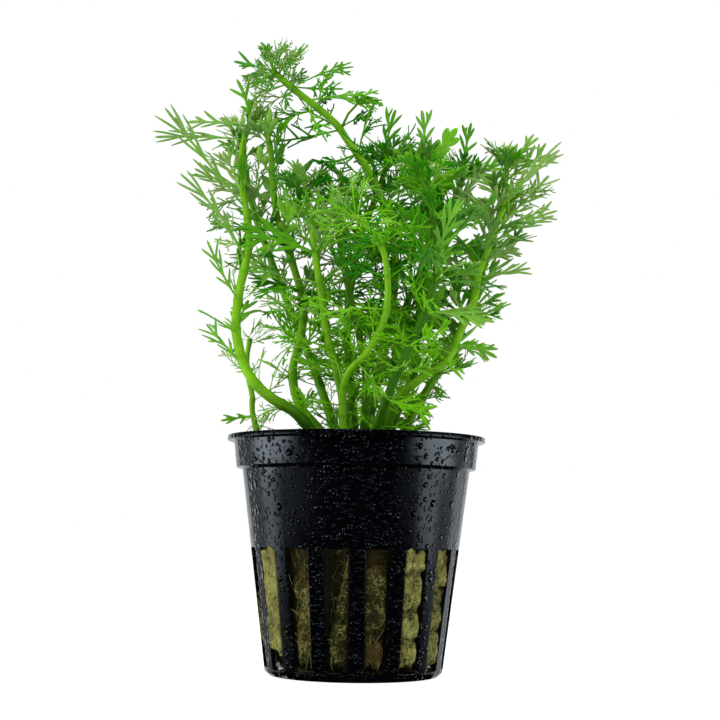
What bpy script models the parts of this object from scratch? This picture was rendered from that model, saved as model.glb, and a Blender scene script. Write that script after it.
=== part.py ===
"""Potted giant ambulia: a slotted net pot, the rock wool in it, and fourteen stems with their leaves.

Lengths below are in millimetres and are turned into metres by MM. The origin is the middle of the
pot's underside, +Z is up, and the plant's front faces -Y.
"""
import math

import bmesh
import bpy
import numpy as np
from mathutils import Matrix, Vector

MM = 0.001
UP = Vector((0, 0, 1))

# Pot: the standard 5 cm net pot
POT_HEIGHT = 50.0
RIM_RADIUS = 27.5
RIM_THICKNESS = 1.1
RIM_ROUND = 0.3
COLLAR_TOP_RADIUS = 26.1
COLLAR_FOOT_RADIUS = 25.5
COLLAR_FOOT_Z = 43.2
BODY_TOP_RADIUS = 24.2
BODY_TOP_Z = 42.9
BASE_RADIUS = 18.6
BASE_ROUND = 0.9
WALL = 0.9
FLOOR = 1.2
COLUMNS = 32
SHARP_ANGLE = math.radians(35)

# Slots in the side and drain holes in the floor
SLOTS = 16
RIB_PITCH = math.tau / SLOTS
FIRST_SLOT_TURN = math.radians(-77.4)
FIRST_RIB_TURN = FIRST_SLOT_TURN + RIB_PITCH / 2
SLOT_FOOT_Z = 1.8
SLOT_HEAD_Z = 26.4
RIB_WIDTH = 3.4
DRAIN_INNER_RADIUS = 6.0
DRAIN_OUTER_RADIUS = 13.0

# Rock wool: a plug in two chunks, pressed into the slots and parted by a leaning seam
WOOL_FOOT_Z = 1.7
WOOL_TOP_Z = 41.6
WOOL_RINGS_Z = (4.0, 14.0, 24.6, SLOT_HEAD_Z + 0.2)
WOOL_RIB_GAP = 0.85
WOOL_SLOT_BULGE = 0.2
WOOL_LUMP = 0.7
WOOL_TOP_LUMP = 0.35
WOOL_FOOT_CURVE = 2.2
WOOL_SHOULDER = (0.2, 1.6)
WOOL_TOP_ROUND = 3.0
SEAM_POINT = (-4.4, 0.0, 17.0)
SEAM_LEAN = 0.22
SEAM_GAP = 0.4
SOCKET_GAP = 0.4
SOCKET_Z = 36.6
SOCKET_OVERSHOOT = 3.0

# Stems: five-sided tubes, with a foot in the wool
STEM_SIDES = 5
RING_STEP = 10.0
NODE_HEIGHT = 0.9
STEM_FOOT_Z = 37.0

# Leaves that grow in whorls on a stem
WHORL_LENGTH = 13.5
WHORL_HALF_WIDTH = 3.8
WHORL_CUT = 0.45
WHORL_BLADE = 3.0
LAST_WHORL = 0.97

# Long single leaves
LEAF_GAP = 0.3
LEAF_CUTS = (0.12, 0.32, 0.5, 0.67, 0.83)
SMALL_LEAF_CUTS = (0.14, 0.4, 0.62, 0.82)
SMALL_LEAF = 3.5
LEAF_BLADE = 2.0
LEAF_BOW = 0.06
LEAF_FACING = 0.65
SAGE_FROM_X = 35.0

# Every leaf
LEAF_THICKNESS = 0.7
LEAF_THINNING = 0.6
STALK_WIDTH = 1.0
LOBE_FORWARD = 0.55
FRONT = Vector((0, -1, 0))
BACK_FROM_Y = 8.0

# Room between leaves: each is kept as balls of this radius along its midrib and lobes
BALL_RADIUS = 0.55
LOBE_BALL_RADIUS = 0.4
STEM_CLEARANCE = 0.1
BALL_START = 0.9
MATE_START = 1.9
BASE_REACH = 3.0
RIM_INSIDE = 23.5
POT_CLEARANCE = 0.4

# How far each leaf of a whorl rises from square to the stem and turns on its own length, in
# degrees, and the turns and sizes that are tried until a leaf has room
WHORL_LEAVES = ((30, 20), (58, -20), (36, -25), (62, 15), (24, 0))
FULL_SIZE_FROM, FULL_SIZE_UNTIL = 0.65, 0.8
FOOT_SIZE, TIP_SIZE = 0.4, 0.6
WHORL_BOW = 0.8
WHORL_TRIES = [(turn, size) for size in (1.1, 0.9, 0.7, 0.55, 0.42)
               for turn in (0, 12, -12, 24, -24)]
LEAF_TRIES = [(turn, lift, size) for size in (1, 0.85, 0.7) for lift in (0, 2, -2, 4)
              for turn in (0, 8, -8, 16, -16, 26, -26)]

# Each route runs from the foot to the tip. Then come the radii at the foot and at the tip, the
# share of the length where the first whorl stands, and the number of whorls.
STEMS = {
    "left_arch": (
        [(-6, -4, 37), (-7, -4.5, 44), (-9, -6.5, 50), (-13, -9.5, 54.5), (-17.5, -12, 57),
         (-21, -13, 60), (-23.5, -13, 64), (-25, -12, 69), (-25.5, -11, 73.5), (-25, -9, 80.5),
         (-24, -7, 86.5), (-23.5, -5, 92), (-24.5, -3, 98.5), (-26, -2, 107), (-25.5, -2, 114),
         (-24, -2, 119)],
        (1.3, 0.6), 0.5, 6),
    "front_curl": (
        [(-1.5, -8, 37), (-2.5, -8, 49), (-3, -9, 57), (-2, -12, 62.5), (1, -15, 65.5),
         (3.5, -17, 69), (5.5, -19, 73.5), (6, -20, 79), (5.5, -21, 84.5), (4, -22, 88.5),
         (1, -24, 91.5), (-1.5, -26, 93)],
        (0.9, 0.7), 0.3, 5),
    "centre_left": (
        [(-1.5, 0, 37), (-2, 0, 49), (-3, -4, 57.5), (-4.5, -6, 64), (-6.5, -7, 71),
         (-7.5, -8, 77.5), (-8.5, -9, 83.5), (-9.5, -9, 90), (-10.5, -8, 96.5), (-12, -6, 103)],
        (1.2, 0.7), 0.4, 5),
    "right_arch": (
        [(5, -2, 37), (6, -3, 49), (8.5, -6, 58), (12, -8, 61), (15.5, -9, 63.5), (18, -10, 65),
         (20, -10, 68), (21.5, -10, 72), (23, -10, 75), (24.5, -9, 79), (25.5, -8, 84.5),
         (27.5, -7, 90), (29.5, -6, 96), (32, -5, 101.5)],
        (1.1, 0.6), 0.4, 6),
    "tall": (
        [(1, 5, 37), (2, 5, 50), (4.5, 7, 63), (6.5, 8, 74.5), (8, 8, 85.5), (7.5, 6, 95.5),
         (4.5, 4, 104), (1, 2, 110.5), (-2.5, 1, 115), (-5.5, 0, 119), (-10.5, -1, 123),
         (-16, -2, 127), (-19.5, -3, 130)],
        (1.1, 0.7), 0.3, 7),
    "upper_left": (
        [(-6, 1, 37), (-7, 0, 49.5), (-12.5, 1, 57), (-14, 1, 64.5), (-12.5, 2, 71),
         (-12, 2, 79), (-14.5, 1, 88), (-17.5, 0, 96), (-19, -1, 105), (-19.5, -2, 112),
         (-20.5, -3, 116)],
        (1.1, 0.6), 0.42, 5),
    "rim_left": (
        [(-19.5, 0.5, 37), (-21, 0, 49), (-22.5, 0, 55.5), (-22.5, 0, 58.5), (-23.5, 1, 62.5),
         (-24, 2, 67), (-23.5, 3, 71.5)],
        (0.7, 0.5), 0.62, 2),
    "right_mid": (
        [(6, 4, 37), (7, 5, 50), (10, 8, 59), (12.5, 9, 64.5), (13, 10, 71.5), (13.5, 10, 77.5),
         (14.5, 9, 86), (16, 8, 95), (15.5, 6, 103.5), (14, 4, 111)],
        (1.1, 0.6), 0.4, 5),
    "back_right": (
        [(4, 10, 37), (5, 10, 50), (8, 16, 64), (9.5, 20, 76), (13, 22, 87), (18, 22, 97.5),
         (22, 20, 107), (24.5, 18, 113.5)],
        (1.1, 0.6), 0.35, 5),
    "far_right": (
        [(9.5, 1, 37), (10, 2, 50), (14.5, 4, 59.5), (20, 5, 68.5), (24, 4, 78.5),
         (27.5, 2, 88.5), (30, 0, 97), (31.5, -1, 104.5), (32, -2, 110)],
        (1.0, 0.6), 0.38, 5),
    "back_centre": (
        [(0, 10, 37), (-0.5, 10, 50), (-1.5, 14, 64), (-2.5, 18, 75.5), (-1.5, 20, 87.5),
         (0.5, 20, 98.5), (4, 18, 107.5), (6.5, 15, 115)],
        (1.1, 0.6), 0.35, 5),
    "back_left": (
        [(-4, 6, 37), (-4.5, 7, 50), (-8, 12, 61.5), (-12, 16, 72), (-16.5, 17, 82.5),
         (-20.5, 15, 92.5), (-24, 12, 102), (-26, 9, 112), (-26.5, 8, 119.5)],
        (1.1, 0.6), 0.35, 6),
    "centre": (
        [(2, -3, 37), (1.5, -1, 49.5), (2, 0, 61.5), (0.5, -1, 71), (-1.5, -2, 79.5),
         (-3.5, -2, 88), (-4.5, -2.5, 95.5), (-4.5, -2, 103)],
        (1.0, 0.6), 0.35, 5),
    "front_right": (
        [(3, -8, 37), (3.5, -8, 49), (6, -12, 57), (9, -15, 64), (12.5, -17, 72),
         (15.5, -18, 80.5), (16, -18, 88.5), (15, -17, 96), (13.5, -16, 102.5)],
        (1.0, 0.6), 0.35, 5),
}

# Each long leaf: its stem, the share of the stem's length where it grows, its tip and half its width
LEAVES = {
    "left_long": ("left_arch", 0.78, (-42.5, -6, 120.5), 5.5),
    "left_level": ("left_arch", 0.95, (-44.5, -6, 114.5), 4.5),
    "left_top": ("left_arch", 0.985, (-39.5, 2, 120), 4.0),
    "left_upright": ("left_arch", 0.995, (-27, -6, 127), 3.0),
    "left_narrow": ("left_arch", 0.64, (-38, -12, 104.5), 4.5),
    "left_middle": ("left_arch", 0.54, (-31.5, -16, 89.5), 4.0),
    "left_lower": ("left_arch", 0.46, (-31.5, -16, 77), 3.5),
    "left_bend": ("left_arch", 0.38, (-32.5, -10, 73), 3.5),
    "left_back": ("back_left", 0.85, (-38, 14, 112), 4.5),
    "left_rear": ("back_left", 0.6, (-29, 26, 95), 4.5),
    "rim_curl": ("rim_left", 0.5, (-29, -3, 53), 2.5),
    "top_right": ("tall", 0.9, (4, -4, 123.5), 3.5),
    "top_back": ("tall", 0.905, (4, 6, 124), 3.5),
    "top_front": ("tall", 0.91, (-7, -10, 112), 3.5),
    "crown_right": ("tall", 0.945, (-1.5, -3, 131), 3.5),
    "crown_back": ("tall", 0.95, (-1, 6.5, 130), 3.5),
    "crown_high": ("tall", 0.975, (-12.5, -1, 137), 3.5),
    "crown_rear": ("tall", 0.98, (-10.5, 6, 137), 3.5),
    "crown_left": ("tall", 0.995, (-28, -4, 131.5), 3.0),
    "crown_tip": ("tall", 0.998, (-22.5, 2, 138), 3.0),
    "crown_low": ("tall", 0.99, (-24, -9, 124), 3.0),
    "broad_right": ("right_mid", 0.9, (10, 0, 113), 4.0),
    "broad_left": ("upper_left", 0.7, (-12.5, -9, 100), 3.5),
    "curl_front": ("front_curl", 0.9, (7, -27, 96), 3.0),
    "curl_left": ("front_curl", 0.97, (-9, -28, 97), 3.0),
    "right_spire": ("right_mid", 0.99, (13.5, 2, 123), 3.5),
    "right_front": ("right_mid", 0.98, (18, -4, 118), 3.5),
    "back_spire": ("back_right", 0.98, (25.5, 15, 124), 3.5),
    "back_reach": ("back_right", 0.97, (32, 20, 119), 4.0),
    "back_rear": ("back_right", 0.7, (20, 33, 104), 4.5),
    "right_tip": ("far_right", 0.985, (39, -2, 116), 3.5),
    "right_upper": ("far_right", 0.95, (42, 1, 113), 3.5),
    "right_outer": ("right_arch", 0.97, (43, -7, 112), 4.5),
    "right_feather": ("right_arch", 0.9, (45, -3, 109), 5.0),
    "right_level": ("right_arch", 0.84, (42, -10, 98), 4.0),
    "right_middle": ("right_arch", 0.74, (36, -13, 85), 3.5),
    "right_lower": ("right_arch", 0.6, (32, -13, 77.5), 3.0),
    "right_hanging": ("right_arch", 0.53, (29, -13, 66), 3.0),
    "centre_rear": ("back_centre", 0.6, (-2, 31, 96), 4.5),
    "centre_high": ("back_centre", 0.97, (8, 12, 126), 4.0),
    "front_reach": ("front_right", 0.7, (20, -29, 96), 4.5),
}

COLOURS = {
    "pot": ((0.006, 0.007, 0.008), 0.18),
    "wool": ((0.24, 0.23, 0.06), 0.9),
    "stem": ((0.19, 0.42, 0.04), 0.45),
    "leaf": ((0.07, 0.30, 0.03), 0.5),
    "sage": ((0.16, 0.33, 0.12), 0.55),
}


def make_material(name):
    colour, roughness = COLOURS[name]
    material = bpy.data.materials.get(name)
    if material is None:
        material = bpy.data.materials.new(name)
        material.use_nodes = True
        shader = material.node_tree.nodes["Principled BSDF"]
        shader.inputs["Base Color"].default_value = (*colour, 1)
        shader.inputs["Roughness"].default_value = roughness
        shader.inputs["Metallic"].default_value = 0
    return material


def make_object(name, bm, material):
    """Turn a mesh in millimetres into an object in metres."""
    bmesh.ops.scale(bm, verts=bm.verts, vec=(MM, MM, MM))
    bmesh.ops.recalc_face_normals(bm, faces=bm.faces)
    if bm.calc_volume(signed=True) < 0:
        bmesh.ops.reverse_faces(bm, faces=bm.faces)
    mesh = bpy.data.meshes.new(name)
    bm.to_mesh(mesh)
    bm.free()
    mesh.materials.append(make_material(material))
    item = bpy.data.objects.new(name, mesh)
    bpy.context.collection.objects.link(item)
    return item


# Pot

def body_radius(z):
    """Outer radius of the pot's tapered body."""
    return BASE_RADIUS + (BODY_TOP_RADIUS - BASE_RADIUS) * z / BODY_TOP_Z


def pot_profile():
    """Radius and height from the middle of the underside, up the outside and down the inside."""
    rim_foot_z = POT_HEIGHT - RIM_THICKNESS
    outside = [
        (0, 0), (DRAIN_INNER_RADIUS, 0), (DRAIN_OUTER_RADIUS, 0), (BASE_RADIUS - BASE_ROUND, 0),
        (body_radius(BASE_ROUND), BASE_ROUND), (body_radius(SLOT_FOOT_Z), SLOT_FOOT_Z),
        (body_radius(SLOT_HEAD_Z), SLOT_HEAD_Z), (BODY_TOP_RADIUS, BODY_TOP_Z),
        (COLLAR_FOOT_RADIUS, COLLAR_FOOT_Z), (COLLAR_TOP_RADIUS, rim_foot_z),
        (RIM_RADIUS, rim_foot_z), (RIM_RADIUS, POT_HEIGHT - RIM_ROUND),
        (RIM_RADIUS - RIM_ROUND, POT_HEIGHT)]
    inside = [
        (COLLAR_TOP_RADIUS - WALL, POT_HEIGHT), (COLLAR_FOOT_RADIUS - WALL, COLLAR_FOOT_Z + WALL),
        (BODY_TOP_RADIUS - WALL, BODY_TOP_Z), (body_radius(SLOT_HEAD_Z) - WALL, SLOT_HEAD_Z),
        (body_radius(SLOT_FOOT_Z) - WALL, SLOT_FOOT_Z), (BASE_RADIUS - WALL - BASE_ROUND, FLOOR),
        (DRAIN_OUTER_RADIUS, FLOOR), (DRAIN_INNER_RADIUS, FLOOR), (0, FLOOR)]
    return outside + inside


def spin_profile(profile, start):
    """Turn a profile once round Z in COLUMNS steps, from the angle start."""
    bm = bmesh.new()
    verts = [bm.verts.new((r * math.cos(start), r * math.sin(start), z)) for r, z in profile]
    edges = [bm.edges.new(pair) for pair in zip(verts, verts[1:])]
    bmesh.ops.spin(bm, geom=verts + edges, cent=(0, 0, 0), axis=UP, angle=math.tau,
                   steps=COLUMNS, use_merge=True)
    bmesh.ops.remove_doubles(bm, verts=bm.verts, dist=0.001)
    return bm


def nearest_rib(turn):
    """Angle of the rib that is nearest to an angle."""
    return FIRST_RIB_TURN + round((turn - FIRST_RIB_TURN) / RIB_PITCH) * RIB_PITCH


def is_between_ribs(point):
    turn = math.atan2(point.y, point.x)
    return abs(turn - nearest_rib(turn)) > RIB_PITCH / 4


def set_rib_edges(bm):
    """Give the ribs one width from foot to head, though the pot tapers."""
    for vert in bm.verts:
        radius = math.hypot(vert.co.x, vert.co.y)
        if vert.co.z > SLOT_HEAD_Z + 1 or vert.co.z < SLOT_FOOT_Z - 0.1:
            continue
        turn = math.atan2(vert.co.y, vert.co.x)
        rib = nearest_rib(turn)
        edge = rib + math.copysign(math.asin(RIB_WIDTH / 2 / radius), turn - rib)
        vert.co.x, vert.co.y = radius * math.cos(edge), radius * math.sin(edge)


def open_window(bm, faces):
    """Cut straight through between two facing faces."""
    edges = {edge for face in faces for edge in face.edges}
    bmesh.ops.delete(bm, geom=faces, context="FACES_ONLY")
    bmesh.ops.bridge_loops(bm, edges=list(edges))


def slot_number(point):
    turn = math.atan2(point.y, point.x) - FIRST_SLOT_TURN
    return round(turn / RIB_PITCH) % SLOTS


def open_slots(bm):
    """Open every panel between two ribs."""
    walls = {}
    for face in bm.faces:
        centre = face.calc_center_median()
        if SLOT_FOOT_Z + 1 < centre.z < SLOT_HEAD_Z and is_between_ribs(centre):
            walls.setdefault(slot_number(centre), []).append(face)
    for faces in walls.values():
        open_window(bm, faces)


def open_drains(bm):
    """Open the floor panel in line with every second slot."""
    panels = {}
    for face in bm.faces:
        centre = face.calc_center_median()
        radius = math.hypot(centre.x, centre.y)
        on_floor = DRAIN_INNER_RADIUS < radius < DRAIN_OUTER_RADIUS and is_between_ribs(centre)
        if on_floor and slot_number(centre) % 2 == 0:
            panels.setdefault(slot_number(centre), []).append(face)
    for faces in panels.values():
        open_window(bm, faces)


def make_pot():
    bm = spin_profile(pot_profile(), FIRST_RIB_TURN + math.pi / COLUMNS)
    set_rib_edges(bm)
    open_slots(bm)
    open_drains(bm)
    pot = make_object("net_pot", bm, "pot")
    pot.data.shade_smooth()
    pot.data.set_sharp_from_angle(angle=SHARP_ANGLE)


# Rock wool

def wool_profile():
    """Radius and height of the plug, which follows the pot's inner wall."""
    side = [(body_radius(z) - WALL, z) for z in WOOL_RINGS_Z]
    foot = [(0, WOOL_FOOT_Z), (body_radius(0) - WALL - WOOL_FOOT_CURVE, WOOL_FOOT_Z)]
    top_radius = body_radius(WOOL_TOP_Z) - WALL
    inward, down = WOOL_SHOULDER
    top = [(top_radius - inward, WOOL_TOP_Z - down), (top_radius - WOOL_TOP_ROUND, WOOL_TOP_Z),
           (0, WOOL_TOP_Z)]
    return foot + side + top


def press_wool(vert):
    """Push the wool's side into the slots and away from the ribs, and make its top uneven."""
    radius = math.hypot(vert.co.x, vert.co.y)
    turn = math.atan2(vert.co.y, vert.co.x)
    lump = math.sin(3 * turn + vert.co.z * 0.31) * math.cos(5 * turn - vert.co.z * 0.17)
    if vert.co.z > WOOL_TOP_Z - 0.1:
        vert.co.z += WOOL_TOP_LUMP * lump
    elif vert.co.z > WOOL_FOOT_Z + 0.1:
        in_slot = is_between_ribs(vert.co) and vert.co.z < SLOT_HEAD_Z
        move = WOOL_SLOT_BULGE - WOOL_LUMP * (0.5 + 0.5 * lump) if in_slot else -WOOL_RIB_GAP
        vert.co.x *= (radius + move) / radius
        vert.co.y *= (radius + move) / radius


def make_wool_plug():
    bm = spin_profile(wool_profile(), FIRST_RIB_TURN)
    for vert in bm.verts:
        press_wool(vert)
    return bm


def make_wool(name, keep_left, cutter):
    """Keep one side of the leaning seam, close the cut and sink the stems' sockets."""
    bm = make_wool_plug()
    across = Vector((1, 0, -SEAM_LEAN)).normalized()
    point = Vector(SEAM_POINT) + across * SEAM_GAP / 2 * (-1 if keep_left else 1)
    cut = bmesh.ops.bisect_plane(bm, geom=bm.verts[:] + bm.edges[:] + bm.faces[:], dist=0.001,
                                 plane_co=point, plane_no=across,
                                 clear_outer=keep_left, clear_inner=not keep_left)
    seam = [item for item in cut["geom_cut"] if isinstance(item, bmesh.types.BMEdge)]
    bmesh.ops.edgeloop_fill(bm, edges=seam)
    wool = make_object(name, bm, "wool")
    sockets = wool.modifiers.new("sockets", "BOOLEAN")
    sockets.operation = "DIFFERENCE"
    sockets.object = cutter


# Stems

class Curve:
    """A smooth curve through points set by hand, measured along its length."""

    def __init__(self, route):
        points = np.array([route[0], *route, route[-1]], float)
        points[0] = 2 * points[1] - points[2]
        points[-1] = 2 * points[-2] - points[-3]
        t = np.linspace(0, 1, 24, endpoint=False)[:, None]
        spans = []
        for a, b, c, d in zip(points, points[1:], points[2:], points[3:]):
            spans.append(b + t * (c - a) / 2 + t * t * (a - 2.5 * b + 2 * c - d / 2)
                         + t ** 3 * (1.5 * b - 1.5 * c + (d - a) / 2))
        self.points = np.concatenate([*spans, points[-2:-1]])
        steps = np.linalg.norm(np.diff(self.points, axis=0), axis=1)
        self.places = np.concatenate([[0], np.cumsum(steps)])
        self.length = float(self.places[-1])

    def point(self, share):
        place = share * self.length
        return Vector([np.interp(place, self.places, axis) for axis in self.points.T])

    def direction(self, share):
        return (self.point(min(share + 0.005, 1)) - self.point(max(share - 0.005, 0))).normalized()


class Stem:
    """A stem's curve, its radii and the frame of each of its rings."""

    def __init__(self, name):
        route, self.radii, first, count = STEMS[name]
        self.whorls = [first + (LAST_WHORL - first) * i / (count - 1) for i in range(count)]
        self.name = name
        self.curve = Curve(route)
        self.bm = bmesh.new()
        self.nodes = []

    def radius(self, share):
        foot, tip = self.radii
        return foot + (tip - foot) * share

    def rings(self):
        """Each ring's share of the length, and the whorl that stands just below it, if one does."""
        half = NODE_HEIGHT / 2 / self.curve.length
        rings = [(0, None)]
        for whorl in [*self.whorls, None]:
            start = rings[-1][0]
            end = 1 if whorl is None else whorl - half
            steps = max(1, round((end - start) * self.curve.length / RING_STEP))
            rings += [(start + (end - start) * i / steps, None) for i in range(1, steps + 1)]
            if whorl is not None:
                rings.append((whorl + half, whorl))
        return rings

    def place_ring(self, face, share, side):
        """Set a ring's corners square to the stem, and give the side vector turned to suit."""
        centre, direction = self.curve.point(share), self.curve.direction(share)
        side = (side - direction * side.dot(direction)).normalized()
        up = direction.cross(side)
        for i, vert in enumerate(face.verts):
            turn = math.tau * i / STEM_SIDES
            vert.co = centre + self.radius(share) * (math.cos(turn) * side + math.sin(turn) * up)
        return side

    def grow_tube(self):
        bmesh.ops.create_circle(self.bm, cap_ends=True, segments=STEM_SIDES, radius=1)
        self.bm.faces.ensure_lookup_table()
        face = self.bm.faces[0]
        side = self.place_ring(face, 0, Vector((1, 0, 0)))
        for share, whorl in self.rings()[1:]:
            face = extrude(self.bm, face)
            side = self.place_ring(face, share, side)
            if whorl is not None:
                panels = [other for edge in face.edges for other in edge.link_faces if other != face]
                self.nodes.append((whorl, panels))
        pull_out(self.bm, face, self.tip())
        close_foot(self.bm)

    def tip(self):
        return self.curve.point(1) + self.curve.direction(1) * 2 * self.radius(1)

    def balls(self):
        """Balls along the stem, one for each hundredth of its length, and one on its tip."""
        shares = np.linspace(0, 1, 101)
        points = [self.curve.point(share) for share in shares] + [self.tip()]
        radii = [self.radius(share) + STEM_CLEARANCE for share in shares] + [BALL_RADIUS]
        return np.column_stack([np.array(points), radii])


def extrude(bm, face):
    """Extrude one face and give the new one, which still lies on the old one's place."""
    return bmesh.ops.extrude_discrete_faces(bm, faces=[face])["faces"][0]


def close_foot(bm):
    bmesh.ops.edgeloop_fill(bm, edges=[edge for edge in bm.edges if edge.is_boundary])


def pull_out(bm, face, point):
    """Raise a face to a point."""
    bmesh.ops.poke(bm, faces=[face])["verts"][0].co = point


def make_socket_cutter(stems):
    """One short tube round the foot of each stem."""
    bm = bmesh.new()
    for stem in stems:
        share = (WOOL_TOP_Z + SOCKET_OVERSHOOT - SOCKET_Z) / stem.curve.length
        low = stem.curve.point(0) - UP * (STEM_FOOT_Z - SOCKET_Z)
        high = stem.curve.point(share)
        radius = stem.radius(0) + SOCKET_GAP
        axis = high - low
        place = Matrix.Translation((low + high) / 2) @ UP.rotation_difference(axis).to_matrix().to_4x4()
        bmesh.ops.create_cone(bm, cap_ends=True, segments=STEM_SIDES, radius1=radius,
                              radius2=radius, depth=axis.length, matrix=place)
    cutter = make_object("socket_cutter", bm, "wool")
    cutter.hide_render = True
    cutter.display_type = "WIRE"
    return cutter


# Room for the leaves

class Room:
    """The space that stems and leaves have taken, kept as balls along their middles."""

    def __init__(self):
        self.balls = np.empty((0, 4))
        self.stems = {}

    def take(self, balls):
        self.balls = np.concatenate([self.balls, balls])

    def is_free(self, balls, stem, base):
        """Whether balls miss the pot, the wool and all that was taken, except their stem near base."""
        low = balls[:, 2] - balls[:, 3]
        out = np.hypot(balls[:, 0], balls[:, 1]) + balls[:, 3]
        over_rim = POT_HEIGHT + POT_CLEARANCE
        if np.any(low < WOOL_TOP_Z + 1) or np.any((low < over_rim) & (out > RIM_INSIDE)):
            return False
        own = self.stems[stem.name]
        own = own[np.linalg.norm(own[:, :3] - np.array(base), axis=1) > BASE_REACH]
        others = [tube for name, tube in self.stems.items() if name != stem.name]
        taken = np.concatenate([self.balls, own, *others])
        lowest = balls[:, :3].min(axis=0) - 2 * BALL_RADIUS
        highest = balls[:, :3].max(axis=0) + 2 * BALL_RADIUS
        taken = taken[np.all((taken[:, :3] > lowest) & (taken[:, :3] < highest), axis=1)]
        return apart(balls, taken)


def apart(balls, others):
    """Whether no ball of the one set meets a ball of the other."""
    distances = np.linalg.norm(balls[:, None, :3] - others[None, :, :3], axis=2)
    return bool(np.all(distances > balls[:, None, 3] + others[None, :, 3]))


def ball_line(start, end, radius, first_share):
    """Balls a millimetre apart from a share of the way along a line to its end."""
    count = max(2, round((end - start).length * (1 - first_share)))
    shares = np.linspace(first_share, 1, count)[:, None]
    centres = np.array(start) * (1 - shares) + np.array(end) * shares
    return np.hstack([centres, np.full((count, 1), radius)])


# Leaves

class Leaf:
    """A flat lobed leaf between a base and a tip, bowed towards its upper face."""

    def __init__(self, base, tip, normal, bow, half_width, blade, cuts):
        self.base, self.tip, self.cuts = base, tip, cuts
        self.half_width, self.blade = half_width, blade
        along = (tip - base).normalized()
        self.side = along.cross(normal).normalized()
        self.normal = self.side.cross(along)
        self.bow = bow

    def panels(self):
        """The stretches that bear lobes: all above the stalk, or the only one."""
        return list(zip(self.cuts, self.cuts[1:])) or [(0, self.cuts[0])]

    def middle(self, share):
        return self.base.lerp(self.tip, share) + self.normal * self.bow * 4 * share * (1 - share)

    def width(self, share):
        """Width of the blade without its lobes, widest a little below the middle."""
        return STALK_WIDTH * (1 - share) + self.blade * math.sin(math.pi * min(1, share * 1.1)) ** 2

    def lobe_tips(self, low, high):
        """Left and right lobe tips of the panel between two cuts."""
        share = (low + high) / 2
        reach = self.half_width * math.sin(math.pi * (0.12 + 0.8 * share)) ** 0.7
        root = self.middle(share) + (self.tip - self.base).normalized() * reach * LOBE_FORWARD
        return [root + self.side * reach * sign for sign in (-1, 1)]

    def balls(self, start):
        """Balls along the midrib from a distance up it, and along the lobes."""
        first = start / (self.tip - self.base).length
        middle = self.middle(0.5)
        lines = [ball_line(self.middle(0).lerp(middle, 2 * first), middle, BALL_RADIUS, 0),
                 ball_line(middle, self.tip, BALL_RADIUS, 0)]
        for sign in (-1, 1):
            edge = middle + self.side * sign * max(0, self.width(0.5) / 2 - BALL_RADIUS)
            lines += [ball_line(self.base, edge, BALL_RADIUS, 0.4),
                      ball_line(edge, self.tip, BALL_RADIUS, 0)]
        for low, high in self.panels():
            for root in (low, (low + high) / 2, high):
                lines += [ball_line(self.middle(root), tip, LOBE_BALL_RADIUS, 0.1)
                          for tip in self.lobe_tips(low, high)]
        return np.concatenate(lines)

    def corner(self, centre, width, thickness, across, over):
        """One corner of the leaf's section: across and over are each 1 or -1."""
        return centre + self.side * across * width / 2 + self.normal * over * thickness / 2

    def grow(self, bm, face):
        """Extrude the leaf from a four-sided face, and pull its panels out into lobes."""
        centre = face.calc_center_median()
        pulls = []
        low = 0
        for cut in self.cuts:
            face = extrude(bm, face)
            signs = {vert: (math.copysign(1, (vert.co - centre).dot(self.side)),
                            math.copysign(1, (vert.co - centre).dot(self.normal)))
                     for vert in face.verts}
            centre = self.middle(cut)
            thickness = LEAF_THICKNESS * (1 - LEAF_THINNING * cut)
            for vert, (across, over) in signs.items():
                vert.co = self.corner(centre, self.width(cut), thickness, across, over)
            if (low, cut) in self.panels():
                for edge in face.edges:
                    sides = {signs[vert][0] for vert in edge.verts}
                    if len(sides) == 1:
                        panel = next(other for other in edge.link_faces if other != face)
                        left, right = self.lobe_tips(low, cut)
                        pulls.append((panel, right if sides == {1} else left))
            low = cut
        for panel, point in [*pulls, (face, self.tip)]:
            pull_out(bm, panel, point)


def whorl_size(share):
    """Leaves are full size in the middle of a stem, and shorter on its foot and its young tip."""
    low = FOOT_SIZE + (1 - FOOT_SIZE) * share / FULL_SIZE_FROM
    high = 1 - (1 - TIP_SIZE) * (share - FULL_SIZE_UNTIL) / (1 - FULL_SIZE_UNTIL)
    return min(low, 1, high)


def grow_whorl(room, stem, share, panels):
    """Grow a leaf from each side of a node, each as steep and as long as it has room for."""
    stem_way = stem.curve.direction(share)
    mates = np.empty((0, 4))
    for panel, (rise, twist) in zip(panels, WHORL_LEAVES):
        base = panel.calc_center_median()
        outward = (base - stem.curve.point(share)).normalized()
        for turn, fit in WHORL_TRIES:
            angle = math.radians(rise + turn)
            size = fit * whorl_size(share)
            way = outward * math.cos(angle) + stem_way * math.sin(angle)
            normal = stem_way * math.cos(angle) - outward * math.sin(angle)
            normal.rotate(Matrix.Rotation(math.radians(twist), 3, way))
            leaf = Leaf(base, base + way * WHORL_LENGTH * size, normal, WHORL_BOW * size,
                        WHORL_HALF_WIDTH * size, WHORL_BLADE * size, (WHORL_CUT,))
            free = room.is_free(leaf.balls(BALL_START), stem, base)
            if free and apart(leaf.balls(MATE_START), mates):
                mates = np.concatenate([mates, leaf.balls(MATE_START)])
                leaf.grow(stem.bm, panel)
                break
    room.take(mates)


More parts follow.
